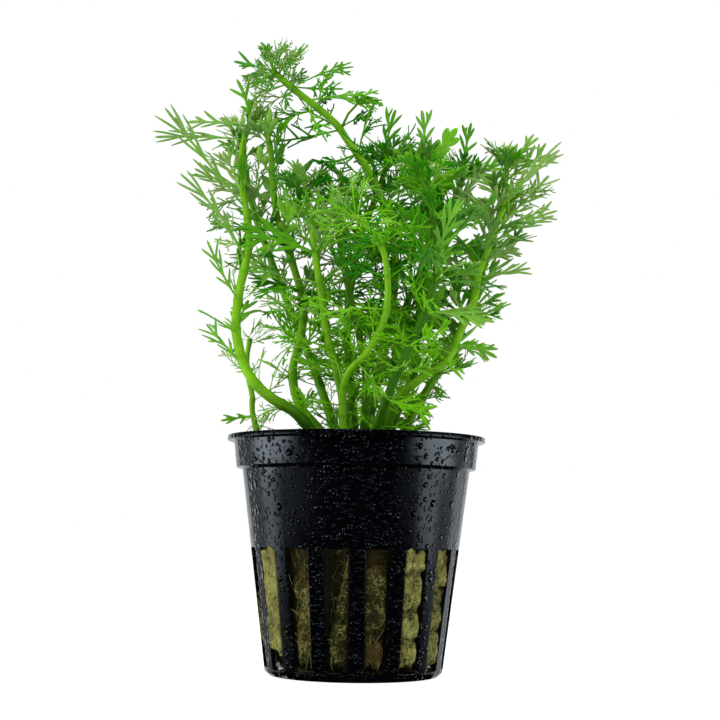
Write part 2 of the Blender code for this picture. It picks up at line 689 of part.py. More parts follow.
def find_long_leaf(room, stem, share, tip, half_width):
    """A leaf of its own beside its stem, turned or cut short a little where it would meet another."""
    foot = stem.curve.point(share)
    way = stem.curve.direction(share)
    facing = FRONT if tip[1] < BACK_FROM_Y else -FRONT
    cuts = SMALL_LEAF_CUTS if half_width <= SMALL_LEAF else LEAF_CUTS
    for turn, lift, size in LEAF_TRIES:
        aim = (Vector(tip) - foot) * size
        aim.rotate(Matrix.Rotation(math.radians(turn), 3, "Z"))
        aim.z += lift
        outward = (aim - way * aim.dot(way)).normalized()
        base = foot + outward * (stem.radius(share) + LEAF_GAP + STALK_WIDTH / 2)
        leaf = Leaf(base, foot + aim, UP.lerp(facing, LEAF_FACING), LEAF_BOW * aim.length,
                    half_width, LEAF_BLADE, cuts)
        if room.is_free(leaf.balls(0), stem, base):
            return leaf
    raise ValueError("a long leaf has no room")


def make_long_leaf(name, leaf, material):
    bm = bmesh.new()
    bmesh.ops.create_circle(bm, cap_ends=True, segments=4, radius=1)
    bm.faces.ensure_lookup_table()
    face = bm.faces[0]
    for vert, (across, over) in zip(face.verts, ((-1, -1), (1, -1), (1, 1), (-1, 1))):
        vert.co = leaf.corner(leaf.base, STALK_WIDTH, LEAF_THICKNESS, across, over)
    leaf.grow(bm, face)
    close_foot(bm)
    make_object("leaf_" + name, bm, material)


def make_plant():
    stems = {name: Stem(name) for name in STEMS}
    room = Room()
    cutter = make_socket_cutter(stems.values())
    make_wool("rock_wool_left", True, cutter)
    make_wool("rock_wool_right", False, cutter)
    for stem in stems.values():
        stem.grow_tube()
        room.stems[stem.name] = stem.balls()
    for name, (stem, share, tip, half_width) in LEAVES.items():
        leaf = find_long_leaf(room, stems[stem], share, tip, half_width)
        room.take(leaf.balls(0))
        make_long_leaf(name, leaf, "sage" if abs(tip[0]) > SAGE_FROM_X else "leaf")
    for stem in stems.values():
        for share, panels in reversed(stem.nodes):
            grow_whorl(room, stem, share, panels)
        make_object("stem_" + stem.name, stem.bm, "stem")


def main():
    for item in list(bpy.data.objects):
        bpy.data.objects.remove(item, do_unlink=True)
    make_pot()
    make_plant()


main()
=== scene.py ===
"""Potted giant ambulia: the finish of a bushy aquarium stem plant, its slotted net pot and rock wool.

Lengths are in millimetres, and MM turns them into metres. The settings, the stage's lamps and floor
and the sizes in the finishes are in metres. +Z is up, and the plant's front faces -Y.
"""

import math
import random
from typing import NamedTuple

import bmesh
import bpy
import numpy as np
from bpy.props import FloatProperty, FloatVectorProperty, IntProperty, PointerProperty
from mathutils import Matrix, Vector, noise


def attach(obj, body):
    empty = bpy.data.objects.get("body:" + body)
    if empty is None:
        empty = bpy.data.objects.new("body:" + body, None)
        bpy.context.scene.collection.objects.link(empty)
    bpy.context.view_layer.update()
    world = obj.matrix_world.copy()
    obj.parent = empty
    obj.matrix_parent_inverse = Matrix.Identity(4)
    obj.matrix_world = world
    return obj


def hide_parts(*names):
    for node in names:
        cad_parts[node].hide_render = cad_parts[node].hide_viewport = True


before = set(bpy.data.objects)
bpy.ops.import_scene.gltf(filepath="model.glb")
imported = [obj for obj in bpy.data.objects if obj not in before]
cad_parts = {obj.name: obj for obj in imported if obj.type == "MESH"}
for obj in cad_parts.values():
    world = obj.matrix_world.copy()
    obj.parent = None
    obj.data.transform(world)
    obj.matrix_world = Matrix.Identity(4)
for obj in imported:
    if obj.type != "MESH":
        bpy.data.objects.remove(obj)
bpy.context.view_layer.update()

bl_info = {
    "name": "Potted Giant Ambulia",
    "version": (1, 0, 0),
    "blender": (4, 5, 0),
    "location": "3D View > Sidebar > Ambulia",
    "description": "Dresses a packed net pot, its rock wool and its stems with leaves in their real finish",
    "category": "Object",
}

MM = 0.001
UP = Vector((0, 0, 1))
FRONT = Vector((0, -1, 0))
ORIGIN = Vector((0, 0, 0))

# Pot: the standard 5 cm net pot
POT_HEIGHT = 50.0
RIM_RADIUS = 27.5
RIM_THICKNESS = 1.1
COLLAR_TOP_RADIUS = 26.1
COLLAR_FOOT_RADIUS = 25.5
COLLAR_FOOT_Z = 43.2
BODY_TOP_RADIUS = 24.2
BODY_TOP_Z = 42.9
BASE_RADIUS = 18.6
BASE_ROUND = 0.9
WALL = 0.9
FLOOR = 1.2
SLOTS = 16
COLUMNS_PER_SLOT = 10
RIB_COLUMNS = 4
RIB_PITCH = math.tau / SLOTS
FIRST_SLOT_TURN = math.radians(-77.4)
FIRST_RIB_TURN = FIRST_SLOT_TURN + RIB_PITCH / 2
SLOT_FOOT_Z = 1.8
SLOT_HEAD_Z = 26.4
RIB_WIDTH = 3.4
DRAIN_INNER_RADIUS = 6.0
DRAIN_OUTER_RADIUS = 13.0
SHARP_EDGE = math.radians(20)
SMOOTH_EDGE = math.radians(35)
# Half the angle that a rib's columns take before they are fitted to its width
RIB_HALF_TURN = RIB_PITCH * RIB_COLUMNS / COLUMNS_PER_SLOT / 2
# A leaf lower than the rim keeps inside this radius, and leaves keep gaps above the rim and the wool
RIM_INSIDE = 24.6
RIM_GAP = 0.3
WOOL_GAP = 1.0

# Rock wool
WOOL_FOOT_Z = 1.7
WOOL_TOP_Z = 41.6
WOOL_COLUMNS = 288
WOOL_RIB_GAP = 0.85
SEAM_POINT = (-4.4, 0.0, 17.0)
SEAM_LEAN = 0.22
SEAM_TURN = 0.06
SEAM_GAP = 0.4
# Unevenness of the wool: the size of its features, its seed and its height
COARSE_LUMPS = (4.5, 3, 1.2)
FINE_LUMPS = (1.7, 9, 0.6)
RAGGED_ENDS = (1.3, 13, 1.6)
FUZZ = (0.7, 21, 0.25)
TOP_LUMPS = (5, 5, 0.8)
TOP_LEVELS = (3, 5, 0.6)
HIGHEST_LUMP = 0.5
CREASE_WIDTH = 0.7
# Behind the ribs the wool lies deeper inside the wall, and its lumps are lower
HOLLOW_DEPTH = 1.4
HOLLOW_LUMPS = 0.4
# Painted light and shade in its colour: the level on its top, the level on its side, and more for each
# # millimetre of bulge, so that its top and its bulges are lighter and its hollows darker
TOP_LEVEL = 0.6
SIDE_LEVEL = 0.45
LEVEL_PER_MM = 0.3

# Loose fibres of the wool. Shares of the ribs' pitch keep their feet and their tips off the ribs, and
# bareness, for each share of wetness, leaves places without fibres
FIBRE_SHAPES = 12
FIBRE_LENGTHS = (1.5, 4.5)
FIBRE_STEPS = 5
FIBRE_BEND = 0.35
FIBRE_RADIUS = 0.03
FIBRE_FOOT_RADIUS = 0.036
FIBRE_LEANS = (-1.2, 1.2)
FIBRE_LIFT = 0.03
FOOT_OFF_RIB = 0.2
TIP_OFF_RIB = 0.18
HIGH_IN_SLOT_Z = 14.0
HIGH_BARENESS = 2.0
LOW_BARENESS = 1.1

# Stems
CURVE_STEPS = 24
AIM_REACH = 0.005
STEM_SIDES = 10
RING_STEP = 1.7
TIP_SHRINK = 0.5
STREAK_LENGTH = 25.0
NODE_REACH = 0.7
FIRST_WHORL = 0.15
# A stem's foot is dark below the first height, partly its own colour and partly painted shade, and has its
# full colour from the second
FOOT_DARK_Z = 52.0
FOOT_LIGHT_Z = 60.0
# Leaves below the first height are lighter by painted light, which fades out up to the second
LOW_LEAF_Z = 62.0
HIGH_LEAF_Z = 88.0
LOW_LEAF_PAINTED_LIGHT = 0.8

# Whorl leaves: how many stand in a whorl on a bare stretch, and their size, which grows from a stem's
# foot up to 1 and falls again on its young tip
BARE_CROWD = 3
FOOT_SIZE = 0.45
FOOT_GAIN = 0.55
FULL_SIZE_FROM = 0.6
TIP_LOSS = 0.42
YOUNG_FROM = 0.8
YOUNG_REACH = 0.2
# How far out from the middle of the stem a leaf starts, as a share of the stem's radius
LEAF_SEAT = 0.6
# A leaf that faces the front more than this would hide the stem
HIDING_FACING = -0.5
# Chance in how a leaf is laid: the range of its size, the extra rise at a stem's tip, and the spread
# of its place round the stem, its rise and roll in degrees, its bends, its tone and its sage
LEAF_SIZES = (0.75, 1.12)
TIP_RISE = 22
AROUND_CHANCE = 0.3
RISE_CHANCE = 13
ROLL_CHANCE = 28
BEND_CHANCE = 0.5
LEAST_CURL = 0.1
CUPS = (-0.5, 1.0)
SWAY_CHANCE = 0.22
TONE_CHANCE = 0.38
SAGE_OFFSET = 0.2
SAGE_CHANCE = 0.2

# Long leaves: the angle each bows by, how far its top leans to the front or the back, how far back
# its tip is where it leans back, and how sage it is where it takes the outer leaves' slot
LONG_CURL = 0.48
LONG_FACING = 0.65
BACK_FROM_Y = 8.0
# Chance in a long leaf: the share of its length that it bows aside by, its twist and its cup
SIDE_BOWS = (0.02, 0.06)
LONG_TWIST_CHANCE = 0.4
LONG_CUPS = (0.1, 0.6)

# Each stem's route from its foot to its tip, and its radii at both
STEMS = {
    "left_arch": (
        [(-6, -4, 37), (-7, -4.5, 44), (-9, -6.5, 50), (-13, -9.5, 54.5), (-17.5, -12, 57),
         (-21, -13, 60), (-23.5, -13, 64), (-25, -12, 69), (-25.5, -11, 73.5), (-25, -9, 80.5),
         (-24, -7, 86.5), (-23.5, -5, 92), (-24.5, -3, 98.5), (-26, -2, 107), (-25.5, -2, 114),
         (-24, -2, 119)],
        (1.3, 0.6)),
    "front_curl": (
        [(-1.5, -8, 37), (-2.5, -8, 49), (-3, -9, 57), (-2, -12, 62.5), (1, -15, 65.5),
         (3.5, -17, 69), (5.5, -19, 73.5), (6, -20, 79), (5.5, -21, 84.5), (4, -22, 88.5),
         (1, -24, 91.5), (-1.5, -26, 93)],
        (0.85, 0.6)),
    "centre_left": (
        [(-1.5, 0, 37), (-2, 0, 49), (-3, -4, 57.5), (-4.5, -6, 64), (-6.5, -7, 71),
         (-7.5, -8, 77.5), (-8.5, -9, 83.5), (-9.5, -9, 90), (-10.5, -8, 96.5), (-12, -6, 103)],
        (1.05, 0.62)),
    "right_arch": (
        [(5, -2, 37), (6, -3, 49), (8.5, -6, 58), (12, -8, 61), (15.5, -9, 63.5), (18, -10, 65),
         (20, -10, 68), (21.5, -10, 72), (23, -10, 75), (24.5, -9, 79), (25.5, -8, 84.5),
         (27.5, -7, 90), (29.5, -6, 96), (32, -5, 101.5)],
        (1.1, 0.6)),
    "tall": (
        [(1, 5, 37), (2, 5, 50), (4.5, 7, 63), (6.5, 8, 74.5), (8, 8, 85.5), (7.5, 6, 95.5),
         (4.5, 4, 104), (1, 2, 110.5), (-2.5, 1, 115), (-5.5, 0, 119), (-10.5, -1, 123),
         (-16, -2, 127), (-19.5, -3, 130)],
        (1.1, 0.7)),
    "upper_left": (
        [(-6, 1, 37), (-7, 0, 49.5), (-12.5, 1, 57), (-14, 1, 64.5), (-12.5, 2, 71),
         (-12, 2, 79), (-14.5, 1, 88), (-17.5, 0, 96), (-19, -1, 105), (-19.5, -2, 112),
         (-20.5, -3, 116)],
        (1.1, 0.6)),
    "rim_left": (
        [(-19.5, 0.5, 37), (-21, 0, 49), (-22.5, 0, 55.5), (-22.5, 0, 58.5), (-23.5, 1, 62.5),
         (-24, 2, 67), (-23.5, 3, 71.5)],
        (0.7, 0.5)),
    "right_mid": (
        [(6, 4, 37), (7, 5, 50), (10, 8, 59), (12.5, 9, 64.5), (13, 10, 71.5), (13.5, 10, 77.5),
         (14.5, 9, 86), (16, 8, 95), (15.5, 6, 103.5), (14, 4, 111)],
        (1.1, 0.6)),
    "back_right": (
        [(4, 10, 37), (5, 10, 50), (8, 16, 64), (9.5, 20, 76), (13, 22, 87), (18, 22, 97.5),
         (22, 20, 107), (24.5, 18, 113.5)],
        (1.1, 0.6)),
    "far_right": (
        [(9.5, 1, 37), (10, 2, 50), (14.5, 4, 59.5), (20, 5, 68.5), (24, 4, 78.5),
         (27.5, 2, 88.5), (30, 0, 97), (31.5, -1, 104.5), (32, -2, 110)],
        (1.0, 0.6)),
    "back_centre": (
        [(0, 10, 37), (-0.5, 10, 50), (-1.5, 14, 64), (-2.5, 18, 75.5), (-1.5, 20, 87.5),
         (0.5, 20, 98.5), (4, 18, 107.5), (6.5, 15, 115)],
        (1.1, 0.6)),
    "back_left": (
        [(-4, 6, 37), (-4.5, 7, 50), (-8, 12, 61.5), (-12, 16, 72), (-16.5, 17, 82.5),
         (-20.5, 15, 92.5), (-24, 12, 102), (-26, 9, 112), (-26.5, 8, 119.5)],
        (1.1, 0.6)),
    "centre": (
        [(2, -3, 37), (1.5, -1, 49.5), (2, 0, 61.5), (0.5, -1, 71), (-1.5, -2, 79.5),
         (-3.5, -2, 88), (-4.5, -2.5, 95.5), (-4.5, -2, 103)],
        (1.0, 0.6)),
    "front_right": (
        [(3, -8, 37), (3.5, -8, 49), (6, -12, 57), (9, -15, 64), (12.5, -17, 72),
         (15.5, -18, 80.5), (16, -18, 88.5), (15, -17, 96), (13.5, -16, 102.5)],
        (1.0, 0.6)),
}

# Each long leaf: its stem, the share of the stem's length where it grows, its kind, how far its side
# branches reach, how sage its green is and how much light it has
LONG_LEAVES = {
    "left_long": ("left_arch", 0.78, "strip", 8.5, 0.45, 0.15),
    "left_level": ("left_arch", 0.95, "strip", 6.0, 0.4, 0.2),
    "left_top": ("left_arch", 0.985, "feather", 4.5, 0.4, 0.25),
    "left_upright": ("left_arch", 0.995, "feather", 3.5, 0.2, 0.6),
    "left_narrow": ("left_arch", 0.64, "strip", 6.0, 0.45, 0.2),
    "left_middle": ("left_arch", 0.54, "narrow", 4.0, 0.3, 0.5),
    "left_lower": ("left_arch", 0.46, "narrow", 4.0, 0.2, 0.5),
    "left_bend": ("left_arch", 0.38, "narrow", 4.5, 0.2, 0.6),
    "left_back": ("back_left", 0.85, "strip", 5.5, 0.4, 0.3),
    "left_rear": ("back_left", 0.6, "feather", 5.5, 0.2, 0.4),
    "rim_curl": ("rim_left", 0.5, "narrow", 2.5, 0.1, 0.6),
    "top_right": ("tall", 0.9, "dill", 3.5, 0.1, 0.6),
    "top_back": ("tall", 0.905, "dill", 3.5, 0.1, 0.6),
    "top_front": ("tall", 0.91, "dill", 3.5, 0.0, 0.5),
    "crown_right": ("tall", 0.945, "dill", 3.5, 0.1, 0.35),
    "crown_back": ("tall", 0.95, "dill", 3.5, 0.1, 0.3),
    "crown_high": ("tall", 0.975, "dill", 3.0, 0.1, 0.3),
    "crown_rear": ("tall", 0.98, "dill", 3.0, 0.1, 0.2),
    "crown_left": ("tall", 0.995, "feather", 3.5, 0.1, 0.1),
    "crown_tip": ("tall", 0.998, "feather", 3.0, 0.1, 0.15),
    "crown_low": ("tall", 0.99, "feather", 3.0, 0.1, 0.15),
    "broad_right": ("right_mid", 0.9, "broad", 5.0, 0.2, 0.9),
    "broad_left": ("upper_left", 0.7, "broad", 4.5, 0.1, 0.9),
    "curl_front": ("front_curl", 0.9, "thread", 3.5, 0.0, 0.5),
    "curl_left": ("front_curl", 0.97, "thread", 3.5, 0.0, 0.5),
    "right_spire": ("right_mid", 0.99, "feather", 4.0, 0.2, 0.6),
    "right_front": ("right_mid", 0.98, "broad", 4.5, 0.1, 0.8),
    "back_spire": ("back_right", 0.98, "feather", 4.0, 0.1, 0.4),
    "back_reach": ("back_right", 0.97, "feather", 5.0, 0.1, 0.4),
    "back_rear": ("back_right", 0.7, "feather", 5.5, 0.1, 0.4),
    "right_tip": ("far_right", 0.985, "feather", 4.5, 0.4, 0.5),
    "right_upper": ("far_right", 0.95, "feather", 4.5, 0.4, 0.4),
    "right_outer": ("right_arch", 0.97, "strip", 6.0, 0.6, 0.35),
    "right_feather": ("right_arch", 0.9, "feather", 6.0, 0.6, 0.35),
    "right_level": ("right_arch", 0.84, "feather", 5.0, 0.5, 0.35),
    "right_middle": ("right_arch", 0.74, "feather", 4.5, 0.5, 0.45),
    "right_lower": ("right_arch", 0.6, "feather", 4.0, 0.3, 0.5),
    "right_hanging": ("right_arch", 0.53, "feather", 3.5, 0.2, 0.5),
    "centre_rear": ("back_centre", 0.6, "feather", 5.5, 0.1, 0.4),
    "centre_high": ("back_centre", 0.97, "feather", 5.0, 0.1, 0.5),
    "front_reach": ("front_right", 0.7, "feather", 5.5, 0.2, 0.6),
}


class Axis(NamedTuple):
    """Widths along one order of a leaf's axes, in millimetres."""

    foot: float
    tip: float
    swell: float


class Plan(NamedTuple):
    """A kind of leaf. Angles are in degrees, and the stalk is the bare share of the midrib."""

    stalk: float
    pairs: int
    paired: bool
    spread: float
    hook: float
    wander: float
    lift: float
    teeth: int
    tooth_length: float
    midrib: Axis
    branch: Axis
    tooth: Axis
    thickness: float


PLANS = {
    "thread": Plan(0.3, 3, False, 42, 20, 14, 0.35, 3, 0.55, Axis(0.4, 0.27, 0),
                   Axis(0.31, 0.23, 0), Axis(0.28, 0.2, 0), 0.22),
    "umbel": Plan(0.52, 2, False, 38, 16, 14, 0.3, 2, 0.55, Axis(0.44, 0.3, 0),
                  Axis(0.32, 0.24, 0), Axis(0.3, 0.2, 0), 0.24),
    "dill": Plan(0.5, 4, True, 44, 24, 9, 0.2, 3, 0.42, Axis(0.42, 0.36, 0), Axis(0.4, 0.32, 0.2),
                 Axis(0.42, 0.3, 0.2), 0.24),
    "feather": Plan(0.26, 3, True, 27, -2, 7, 0.16, 1, 0.42, Axis(0.62, 0.45, 0),
                    Axis(0.42, 0.22, 0.62), Axis(0.38, 0.22, 0.3), 0.26),
    "strip": Plan(0.34, 2, True, 17, 7, 4, 0.08, 1, 0.26, Axis(0.66, 0.38, 0),
                  Axis(0.42, 0.2, 0.42), Axis(0.32, 0.18, 0.16), 0.26),
    "lance": Plan(0.32, 2, True, 25, 6, 6, 0.14, 1, 0.42, Axis(0.7, 0.5, 0), Axis(0.56, 0.26, 1.05),
                  Axis(0.46, 0.26, 0.6), 0.26),
    "narrow": Plan(0.3, 3, True, 24, -4, 8, 0.14, 1, 0.45, Axis(0.5, 0.36, 0),
                   Axis(0.38, 0.2, 0.32), Axis(0.36, 0.2, 0.2), 0.22),
    "broad": Plan(0.38, 1, True, 32, 4, 6, 0.12, 0, 0, Axis(0.75, 0.6, 0), Axis(0.7, 0.5, 1.9),
                  Axis(0, 0, 0), 0.3),
}
# Where side axes leave the midrib and a branch, as shares of its length, how far chance shifts those
# that aren't in pairs, how their lengths vary, and the length that each tooth takes
MIDRIB_END = 0.92
BRANCH_START = 0.34
BRANCH_END = 0.9
ROOT_CHANCE = 0.4
SIDE_SIZES = (0.75, 1.2)
TOOTH_PITCH = 1.2
# An axis that swells more than this has its width set at two shares of its last stretch, not at one
WIDE_SWELL = 0.25
WIDE_CUTS = (0.3, 0.7)
THIN_CUTS = (0.5,)
# How much of the midrib's paleness a side axis keeps, order by order
RIB_FADE = 0.4


class WhorlLeaf(NamedTuple):
    """A kind of leaf in a whorl: how far it rises from square to its stem in degrees, its usual curl,
    how far its branches reach, and how many shapes it has, enough that none is seen often."""

    rise: float
    curl: float
    reach: float
    shapes: int


WHORL_LEAVES = {
    "thread": WhorlLeaf(15, 0.0, 5.4, 20),
    "umbel": WhorlLeaf(4, -0.2, 3.6, 5),
    "dill": WhorlLeaf(16, -0.9, 3.0, 10),
    "feather": WhorlLeaf(28, -0.2, 5.4, 12),
    "lance": WhorlLeaf(36, -0.3, 6.6, 10),
    "narrow": WhorlLeaf(30, 0.1, 4.8, 8),
    "broad": WhorlLeaf(35, -0.3, 5.4, 6),
}
SHAPE_LENGTH = 12.0
# The most pairs of side branches on a long leaf, and the length that each pair takes
LONG_PAIRS = {"feather": 4, "strip": 3, "narrow": 4, "dill": 5, "thread": 4, "broad": 2}
PAIR_LENGTH = 4.6


class Growth(NamedTuple):
    """A stem's whorls: kinds of leaf from its foot to its tip, their tone, partly painted light and
    shade, their size, how much steeper than usual they rise in degrees, how many more or fewer than
    usual there are, the share of its length that has few leaves, where its last full whorl stands,
    how dark its foot is, partly its own colour and partly painted shade, and how much painted shade
    darkens the rest, the stretch that shows between the leaves, and the share and size of each
    young whorl at its tip."""

    kinds: tuple
    tone: float
    size: float = 1.0
    rise: float = 0.0
    more: int = 0
    bare: float = 0.3
    last: float = 0.97
    shade: float = 0.8
    stem_shade: float = 0.0
    shown: tuple = (0, 0)
    crown: tuple = ((0.984, 0.55), (0.999, 0.38))


TALL_CROWN = ((0.96, 0.64), (0.973, 0.64), (0.984, 0.6), (0.993, 0.56), (0.999, 0.5))
GROWTHS = {
    "left_arch": Growth(("narrow", "thread", "feather"), 0.4, size=0.8, rise=22, more=-2, last=0.965,
                        shade=0.95, shown=(0.12, 0.8)),
    "front_curl": Growth(("thread", "thread", "thread"), 0.25, size=0.9, bare=0.8, last=0.86,
                         shade=0.0, shown=(0.12, 0.84), crown=((0.999, 0.3),)),
    "centre_left": Growth(("thread", "thread", "feather"), 0.35, bare=0.35, shade=0.6, stem_shade=0.1,
                          shown=(0.2, 0.72)),
    "right_arch": Growth(("thread", "feather", "lance"), 0.3, size=0.8, rise=4, more=-2, bare=0.5,
                         shown=(0.2, 0.72)),
    "tall": Growth(("thread", "thread", "dill"), 0.12, bare=0.32, last=0.94, shown=(0.7, 0.93),
                   crown=TALL_CROWN),
    "upper_left": Growth(("thread", "narrow", "broad"), 0.25, size=0.9, rise=8, more=-2, shade=0.6,
                         stem_shade=0.15, shown=(0.2, 0.4)),
    "rim_left": Growth(("thread", "thread", "narrow"), 0.5, size=0.8, rise=10, more=-3, bare=0.6,
                       shade=0.1, shown=(0.3, 1)),
    "right_mid": Growth(("thread", "lance", "broad"), 0.3, bare=0.32, stem_shade=0.65),
    "back_right": Growth(("thread", "thread", "lance"), 0.1, stem_shade=0.7),
    "far_right": Growth(("thread", "feather", "lance"), 0.2, size=0.9, rise=12, more=-1, stem_shade=0.5),
    "back_centre": Growth(("thread", "thread", "feather"), 0.1, more=1, stem_shade=0.7),
    "back_left": Growth(("thread", "thread", "narrow"), 0.15, size=0.9, rise=8, more=-2, stem_shade=0.45),
    "centre": Growth(("thread", "dill", "thread"), 0.2, more=1, bare=0.32, stem_shade=0.65),
    "front_right": Growth(("thread", "thread", "feather"), 0.2, size=0.92, more=1, bare=0.36, stem_shade=0.82),
}
# How far the bush reaches to its left and its right at each height
BUSH = ((50, -26, 16), (58, -24, 19), (65, -29, 28), (75, -31, 31), (87, -32, 34), (97, -35, 41),
        (108, -38, 44), (115, -41, 36), (121, -34, 12), (125, -28, 2), (131, -27, -4), (137, -18, -14))
# Sizes that a whorl leaf is tried at, until it keeps in the bush and off the pot
LEAF_FITS = (1, 0.84, 0.7, 0.56)
# The stem that curls to the front ends in an open wheel of thin leaves round its tip
WHEEL_STEM = "front_curl"
WHEEL_KIND = "umbel"
WHEEL_SHARE = 0.98
WHEEL_FACING = Vector((-0.1, -0.9, 0.35)).normalized()
WHEEL_LEAVES = 13
WHEEL_SIZE = 0.66
WHEEL_TONE = 1.1
WHEEL_SAGE = 0.28
# Leaves turn sage towards the sides, in full at this distance on the left, and less on the right
SAGE_REACH = 42.0
RIGHT_SAGE = 0.7


# Settings

def colour_setting(name, description, default):
    return FloatVectorProperty(name=name, description=description, default=default, size=3,
                               min=0, max=1, subtype="COLOR")


def share_setting(name, description, default):
    return FloatProperty(name=name, description=description, default=default, min=0, max=1,
                         subtype="FACTOR")


def length_setting(name, description, default):
    return FloatProperty(name=name, description=description, default=default, min=0,
                         subtype="DISTANCE", unit="LENGTH", precision=5)


class AMBULIA_PG_stage(bpy.types.PropertyGroup):
    """Floor, lamps and camera."""

    floor_glow: FloatProperty(name="Floor", description="Glow of the white floor", default=0.95, min=0)
    sky: FloatProperty(name="Sky", description="Strength of the even light", default=0.42, min=0)
    key: FloatProperty(name="Key", description="Glow of the soft boxes overhead", default=3.2, min=0)
    side: FloatProperty(name="Sides", description="Glow of the matt light from the sides", default=3.8,
                        min=0)
    shine: FloatProperty(name="Shine", description="Strength of the glow that the pot mirrors",
                         default=1.0, min=0)
    lens: FloatProperty(name="Lens", description="Focal length on a 36 mm sensor", default=74.04,
                        min=1, subtype="DISTANCE_CAMERA")


class AMBULIA_PG_pot(bpy.types.PropertyGroup):
    """Moulded net pot."""

    colour: colour_setting("Colour", "Colour of the plastic", (0.0006, 0.0006, 0.001))
    roughness: share_setting("Roughness", "Roughness of the plastic between the beads", 0.09)
    edge: length_setting("Edge", "Round on the moulded edges", 0.00022)
    bead: length_setting("Beads", "Spacing of the large beads in the wet film", 0.0024)


class AMBULIA_PG_wool(bpy.types.PropertyGroup):
    """Rock wool."""

    # The lit colour and the depths' colour: between them go painted light on the wool's top and bulges,
    # painted shade in its hollows, and its darker wet places
    colour: colour_setting("Colour", "Colour of the lit wool", (0.27, 0.27, 0.075))
    wet_and_shade_colour: colour_setting("Depths", "Colour of the wet wool in the hollows", (0.016, 0.015, 0.004))
    fibre_colour: colour_setting("Fibres", "Colour of the loose fibres", (0.26, 0.25, 0.1))
    fibres: IntProperty(name="Fibres", description="Loose fibres in each chunk", default=800, min=0)


class AMBULIA_PG_plant(bpy.types.PropertyGroup):
    """Stems and leaves."""

    stem_colour: colour_setting("Stem", "Colour of the stems", (0.125, 0.31, 0.004))
    # The shaded and the lit leaf colours are painted shade and painted light, which each leaf's tone mixes
    shaded_leaf_colour: colour_setting("Shaded leaf", "Colour of the shaded leaves", (0.006, 0.135, 0.001))
    lit_leaf_colour: colour_setting("Lit leaf", "Colour of the lit leaves", (0.125, 0.385, 0.004))
    sage_colour: colour_setting("Sage leaf", "Colour of the outer leaves", (0.25, 0.305, 0.115))
    swell: share_setting("Nodes", "How far a stem swells where leaves grow", 0.16)
    crowd: IntProperty(name="Leaves", description="Leaves in a full whorl", default=6, min=1)
    pitch: length_setting("Pitch", "Length of stem between two whorls", 0.0066)
    leaf_length: length_setting("Length", "Length of a full whorl leaf", 0.0135)


# Shader maths

class Wire:
    """A number that varies over a surface: a node's output, on which operators add Math nodes."""

    def __init__(self, finish, socket):
        self.finish, self.socket = finish, socket

    def maths(self, operation, first, second):
        return self.finish.node("Math", {"operation": operation}, {0: first, 1: second})

    def __add__(self, other):
        return self.maths("ADD", self, other)

    def __sub__(self, other):
        return self.maths("SUBTRACT", self, other)

    def __rsub__(self, other):
        return self.maths("SUBTRACT", other, self)

    def __mul__(self, other):
        return self.maths("MULTIPLY", self, other)

    def __gt__(self, other):
        return self.maths("GREATER_THAN", self, other)

    def __pow__(self, other):
        return self.maths("POWER", self, other)

    def at_least(self, other):
        return self.maths("MAXIMUM", self, other)

    def output(self, name):
        """Another output of the same node."""
        return Wire(self.finish, self.socket.node.outputs[name])

    __radd__ = __add__
    __rmul__ = __mul__


class Finish:
    """A material at work: its Principled shader, and one method that adds any other node."""

    def __init__(self, name, constants):
        self.material = bpy.data.materials.new(name)
        self.material.use_nodes = True
        self.tree = self.material.node_tree
        self.shader = self.tree.nodes["Principled BSDF"]
        self.set(constants)

    def set(self, values):
        """Set the shader's own sockets, to numbers or to wires."""
        for name, value in values.items():
            self.feed(self.shader.inputs[name], value)

    def feed(self, socket, value):
        if isinstance(value, Wire):
            self.tree.links.new(value.socket, socket)
        else:
            socket.default_value = value

    def node(self, kind, settings=None, inputs=None, output=0):
        """Add a node: its settings first, then the values or wires of its sockets."""
        node = self.tree.nodes.new("ShaderNode" + kind)
        for name, value in (settings or {}).items():
            if name == "stops":
                self.set_stops(node.color_ramp, value)
            else:
                setattr(node, name, value)
        for key, value in (inputs or {}).items():
            self.feed(node.inputs[key], value)
        return Wire(self, node.outputs[output])

    def set_stops(self, ramp, stops):
        while len(ramp.elements) < len(stops):
            ramp.elements.new(1)
        for element, (place, colour) in zip(ramp.elements, stops):
            element.position = place
            element.color = (*colour, 1) if isinstance(colour, tuple) else (colour,) * 3 + (1,)

    def ramp(self, factor, *stops):
        return self.node("ValToRGB", {"stops": stops}, {"Fac": factor})

    def attribute(self, name, output="Fac"):
        return self.node("Attribute", {"attribute_name": name}, output=output)

    def place(self, scale=(1, 1, 1), turn=(0, 0, 0)):
        """Object coordinates in metres, stretched or turned."""
        spot = self.node("TexCoord", output="Object")
        return self.node("Mapping", inputs={"Vector": spot, "Scale": scale, "Rotation": turn})

    def grain(self, vector, size, detail=2.0, roughness=0.5, distortion=0.0):
        """Noise whose features have a size in metres."""
        return self.node("TexNoise", inputs={
            "Vector": vector, "Scale": 1 / size, "Detail": detail, "Roughness": roughness,
            "Distortion": distortion})

    def tint(self, factor, first, second):
        """Mix two colours, each of three numbers or a wire."""
        first, second = (c if isinstance(c, Wire) else (*c, 1) for c in (first, second))
        return self.node("Mix", {"data_type": "RGBA"}, {0: factor, 6: first, 7: second}, output=2)

    def raise_surface(self, height):
        """Feed the shader's normal from a height in metres."""
        self.set({"Normal": self.node("Bump", inputs={
            "Height": height, "Distance": 1.0, "Strength": 1.0})})


def shaded(colour, factor, added=0.0):
    """A darker or a lighter form of a colour."""
    return tuple(c * factor + added for c in colour)


def filtered(colour, factors):
    """A colour with each of its channels multiplied by its own factor."""
    return tuple(c * factor for c, factor in zip(colour, factors))


